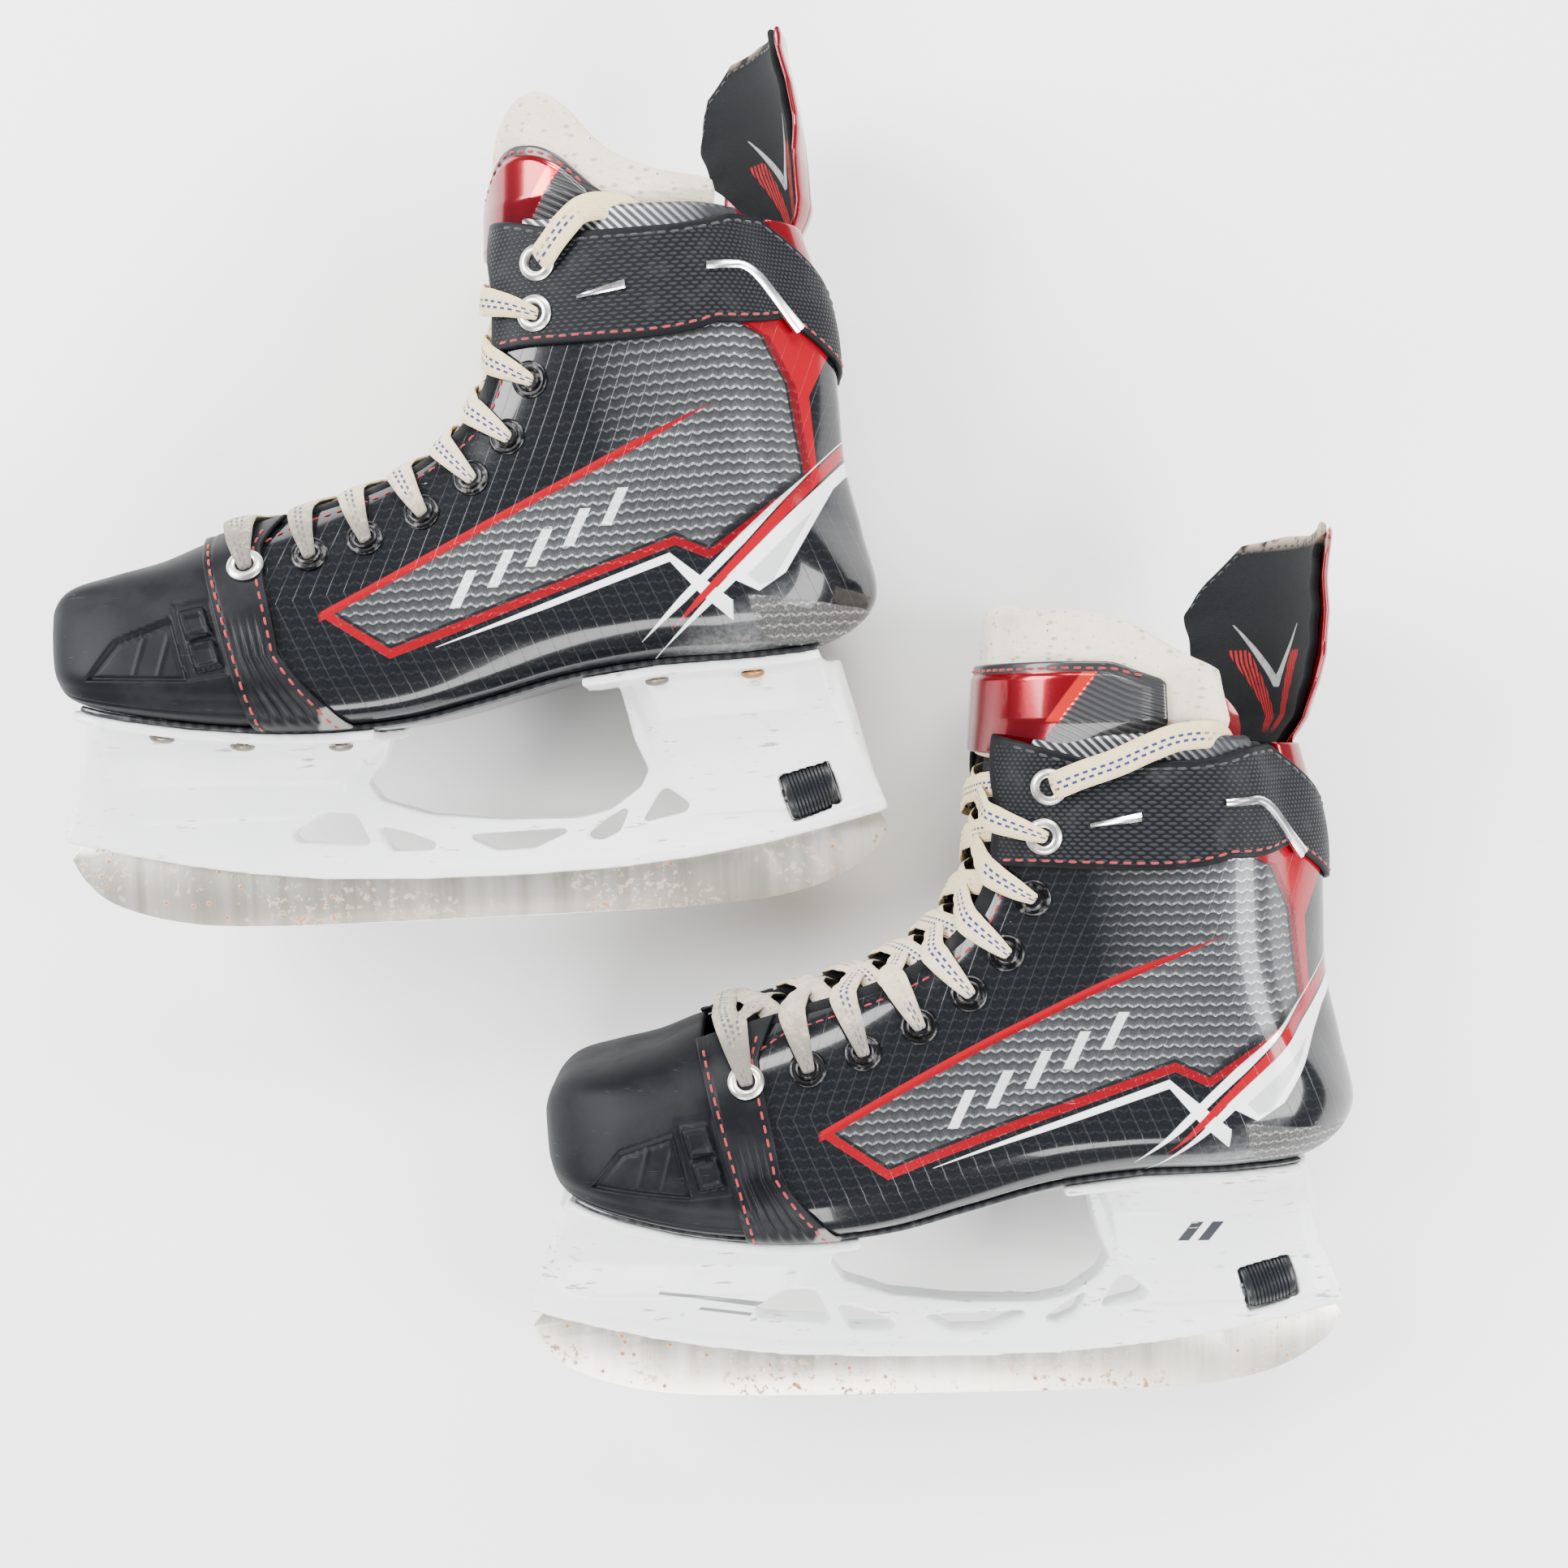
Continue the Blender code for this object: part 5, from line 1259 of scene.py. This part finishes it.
# where the top ends run over the collar and into the boot: station, u, height over the cuff
LONG_END = [(17.9, 4.22, 0.9), (18.02, 4.13, 2.6), (18.3, 3.93, 2.7), (18.6, 3.7, 2.9), (18.9, 3.48, 2.4),
            (19.08, 3.28, 0.8), (19.12, 3.0, -2.2), (19.05, 2.75, -5.8), (18.8, 2.5, -9.2), (18.2, 2.3, -10.8)]
SHORT_END = [(17.9, 4.22, 0.9), (18.05, 4.15, 2.6), (18.35, 4.05, 2.7), (18.7, 3.92, 2.6), (18.98, 3.8, 1.0),
             (19.08, 3.66, -2.0), (19.0, 3.5, -5.6), (18.6, 3.35, -9.2), (18.0, 3.25, -10.8)]
LACE_WIDTH = 9.0


def build_laces(s):
    strands, notes = [], []

    def add(rows):
        """A strand through rows of (station, u, height, width, thickness)."""
        points, faces, along, _ = ribbon([(*on_boot(*row[:3]), *row[3:]) for row in rows])
        strands.append((points, faces))
        notes.append(along)

    rng = np.random.default_rng(11)
    for n in range(8):
        for side in (1, -1):
            (t, u), lift = SPOTS[n], LIFT[n]
            reach, inward = SPOTS[n + 1][0] - t, THROAT - u
            jitter = rng.normal(0, 0.03, 4)
            over = 0.10 if side > 0 else 0.9  # the strands of one side cross over those of the other
            rows = [(t, side * u, lift - 2.2, 4.0, 1.6), (t, side * u, lift + 0.6, 4.4, 1.7),
                    (t + reach * 0.02, side * (u + inward * 0.35), lift + 2.5, 7.0, 1.3),
                    (t + reach * 0.05, side * (u + inward * 0.8), lift + 2.9, 9.0, 1.15),
                    (t + reach * 0.10 + jitter[0], side * (THROAT + 0.06), lift + 2.2, 9.2, 1.1),
                    (t + reach * 0.32 + jitter[1], side * 5.45, 1.0 + over, 9.0, 1.1),
                    (t + reach * 0.5, side * 6.0, 0.6 + over * 1.5, 9.0, 1.1)]
            far = ((0.66, 5.55, 0.2), (0.80, 5.12, -2.6), (0.90, 4.85, -3.6), (0.97, 4.6, -3.6))
            rows += [(t + reach * share, -side * far_u, out, 8.6, 1.0) for share, far_u, out in far]
            add(rows)

    # the straight bar across the lowest pair
    (t, u), lift = SPOTS[0], LIFT[0]
    half = ((0.0, -2.0, 4.0, 1.6), (0.0, 0.8, 4.6, 1.6), (0.3, 2.6, 7.0, 1.3), (0.8, 2.9, 8.6, 1.2),
            (1.15, 2.2, 8.8, 1.1))
    near, far = ([(t - 0.05 * share, side * (u + (THROAT - u) * share), lift + out, width, thick)
                  for share, out, width, thick in half] for side in (-1, 1))
    add(near + [(t - 0.12, 6.0, 1.6, 8.8, 1.1)] + far[::-1])
    s.put("lace_crossings", *joined(strands), "lace", stands_for=["lace"], slot="lace",
          along=np.concatenate(notes), sharp=180)

    for side, label in SIDES:
        route = LONG_END if s.name == "left" and side > 0 else SHORT_END
        rows = [(*on_boot(t, side * u, LIFT[8] + out), LACE_WIDTH, 1.1) for t, u, out in route]
        points, faces, along, line = ribbon(rows, 8)
        end = s.put(f"lace_end_{label}", points, faces, "lace", slot="lace", along=along, sharp=180)
        path = s.world(line)


# ---------------------------------------------------------------- holder, runner and lock
def wheel_line(forward):
    return (WHEEL_AT[0] + forward * math.cos(WHEEL_TILT), 0.0, WHEEL_AT[1] - forward * math.sin(WHEEL_TILT))


def runner_root(x):
    return np.interp(x, *np.array(RAIL_BOTTOM[::-1]).T) + (3.6 if x > -97 else 2.2)


def build_runner(s):
    pin_x, _, pin_z = wheel_line(BOLT_REACH)
    notch = (pin_x + PIN_SLACK + 2.0, pin_x - 2.0)
    front, rear, bed = *notch, pin_z - 2.2
    post = [(front + 3.5, 42), (front, 42), (front, bed), (rear, bed), (rear, 38.5), (rear - 3, 38.5)]
    edge = [(136, 34), (118, runner_root(118)), (118, 44), (106, 44), (106, runner_root(106))]
    edge += [(x, runner_root(x)) for x, _ in RAIL_BOTTOM if post[0][0] < x < 106]
    edge += [(post[0][0], runner_root(post[0][0]))] + post + [(post[-1][0], runner_root(post[-1][0]))]
    edge += [(x, runner_root(x)) for x, _ in RAIL_BOTTOM if -135 < x < post[-1][0]] + [(-138, 33)]
    bottom = smooth(RUNNER_BOTTOM, np.linspace(0, len(RUNNER_BOTTOM) - 1, 140)).tolist()
    outline = edge + bottom[::-1]
    centre = np.array(outline)
    ahead = np.roll(centre, -1, 0) - np.roll(centre, 1, 0)
    inward = np.stack([-ahead[:, 1], ahead[:, 0]], -1)
    inward /= np.maximum(np.linalg.norm(inward, axis=1, keepdims=True), 1e-9)
    area = sum(a[0] * b[1] - b[0] * a[1] for a, b in zip(outline, outline[1:] + outline[:1]))
    inward *= 1 if area > 0 else -1
    rings = []
    for y, cut in ((-1.5, 0.35), (-1.42, 0.1), (-1.15, 0.0), (0.0, 0.0), (1.15, 0.0), (1.42, 0.1), (1.5, 0.35)):
        spots = centre + inward * cut
        if y == 0.0:
            spots = spots + inward * np.where(centre[:, 1:2] < 28, 0.12, 0.0)
        rings.append(np.insert(spots, 1, y, axis=1))
    s.put("steel", *solid(np.array(rings)), "steel", body="runner_body", stands_for=["runner"], slot="steel",
          sharp=40)


def build_holder(s):
    """The CAD holder with its edges softened, as moulded plastic has them, and raised beads along it."""
    node = frame["nodes"][s.name + "_holder"]
    obj = node.copy()
    obj.data = node.data.copy()
    obj.name = s.name + "_holder_body"
    obj.parent = None
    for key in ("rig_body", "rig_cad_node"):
        if key in obj:
            del obj[key]
    bpy.context.scene.collection.objects.link(obj)
    weld = obj.modifiers.new("weld", "WELD")
    weld.merge_threshold = 1e-6
    remesh = obj.modifiers.new("remesh", "REMESH")
    remesh.mode, remesh.voxel_size, remesh.adaptivity = "VOXEL", 0.85 * MM, 0.0
    even = obj.modifiers.new("even", "SMOOTH")
    even.factor, even.iterations = 0.5, 5
    bpy.context.view_layer.update()
    mesh = bpy.data.meshes.new_from_object(obj.evaluated_get(bpy.context.evaluated_depsgraph_get()))
    obj.modifiers.clear()
    obj.data = mesh
    at = s.design(places(mesh))
    x, y, z = at.T
    rail = z - np.interp(x, *np.array(RAIL_BOTTOM[::-1]).T)
    wide = bump_between(rail, -2.0, 4.6, 0.9) * (np.abs(y) > 3.0) * (np.abs(y) < 7.0)
    at[:, 1] += np.sign(y) * 0.75 * wide
    move(mesh, s.world(at))
    note(mesh, "at", at)
    mesh.materials.clear()
    mesh.materials.append(PAINTS["holder"].material)
    mesh.shade_smooth()
    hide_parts(s.name + "_holder")
    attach(obj, s.name + "_boot")


def build_rivets(s):
    low = GAP + OUTSOLE + GAP
    profile = [(1.9, -6.0), (1.9, 0.1), (3.8, 0.1), (4.1, 0.5), (3.9, 1.1), (3.1, 1.75), (1.9, 2.15), (0.4, 2.3)]
    for name, (t, u) in RIVETS.items():
        for side, label in SIDES:
            at, up = on_boot(t, side * u, low + FLANGE - 0.2)
            paint = "rivet_rust" if name == "heel_back" else "rivet"
            s.put(f"rivet_head_{name}_{label}", *turned(profile, at, up, 24), paint,
                  stands_for=[f"rivet_{name}_{label}"], slot="eyelet", sharp=35)


def build_lock(s):
    """The ribbed wheel. The screw keeps its CAD mesh and gets its material here."""
    axis = Vector(wheel_line(0)) - Vector(wheel_line(1))
    end = [(BOLT_R + 0.25, 0.4), (WHEEL_R - 1.8, 0.0), (WHEEL_R - 1.1, 0.3), (WHEEL_R - 0.7, 1.2)]
    profile, grooves = list(end), 11
    for k in np.linspace(0.1, 0.9, grooves * 4 + 1):
        groove = 0.45 * max(0.0, math.cos(2 * math.pi * grooves * (k - 0.1) / 0.8)) ** 2
        profile.append((WHEEL_R - 0.5 + 0.5 * math.sin(math.pi * k) - groove, WHEEL_LENGTH * k))
    profile += [(radius, WHEEL_LENGTH - height) for radius, height in end[::-1]]
    profile.append(profile[0])
    points, faces = turned(profile, wheel_line(WHEEL_LENGTH / 2), axis, 48)
    s.put("lock_wheel_ribbed", points, faces[:-2], "wheel", body="wheel_body", stands_for=["lock_wheel"],
          slot="black_plastic", sharp=35)
    screw = frame["nodes"][s.name + "_lock_screw"]
    screw.data.materials.clear()
    screw.data.materials.append(PAINTS["bolt"].material)


# ---------------------------------------------------------------- stage, light and camera
def camera():
    data = bpy.data.cameras.new("camera")
    data.lens, data.sensor_width = 38.2, 36.0
    obj = show("camera", data)
    look = Vector((-0.0196, -0.0112, -0.9998)).normalized()
    right = look.cross(Vector((0, 1, 0))).normalized()
    up = right.cross(look)
    turn = Matrix((right, up, -look)).transposed().to_4x4()
    obj.matrix_world = Matrix.Translation((0.037, -0.0144, 0.625)) @ turn
    bpy.context.scene.camera = obj


def light(name, width, height, power, place):
    """A soft box that faces the middle of the floor."""
    data = bpy.data.lights.new(name, "AREA")
    data.shape, data.size, data.size_y, data.energy = "RECTANGLE", width, height, power
    obj = show(name, data)
    obj.location = place
    obj.rotation_euler = (-Vector(place)).to_track_quat("-Z", "Y").to_euler()


def stage():
    floor = Paint("floor", (0.96, 0.96, 0.96), 0.75, Specular_IOR_Level=0.2)
    floor.set("Roughness", floor.noise(40, 2) * 0.05 + 0.7)
    mesh = bpy.data.meshes.new("floor")
    mesh.from_pydata([(-6, -6, 0), (6, -6, 0), (6, 6, 0), (-6, 6, 0)], [], [(0, 1, 2, 3)])
    mesh.materials.append(floor.material)
    show("floor", mesh)
    world = bpy.data.worlds.new("studio")
    world.use_nodes = True
    world.node_tree.nodes["Background"].inputs[0].default_value = (1, 1, 1, 1)
    world.node_tree.nodes["Background"].inputs[1].default_value = 0.36
    bpy.context.scene.world = world
    light("left_box", 0.9, 0.7, 54, (-1.1, 0.45, 0.95))
    light("right_box", 0.9, 0.7, 41, (1.15, -0.35, 0.95))
    light("back_box", 1.2, 0.4, 40, (0.2, 1.2, 0.9))
    light("front_box", 1.2, 0.4, 27, (-0.1, -1.2, 0.9))


for other in list(bpy.data.objects):
    if other.type in ("CAMERA", "LIGHT"):
        bpy.data.objects.remove(other)
camera()
stage()
for name, side in (("left", 1), ("right", -1)):
    skate = Skate(name, side)
    for build in (build_laces, build_shell, build_toe, build_straps, build_cuff, build_linings, build_sole,
                  build_tongue, build_guard, build_eyelets, build_runner, build_holder, build_rivets, build_lock):
        build(skate)
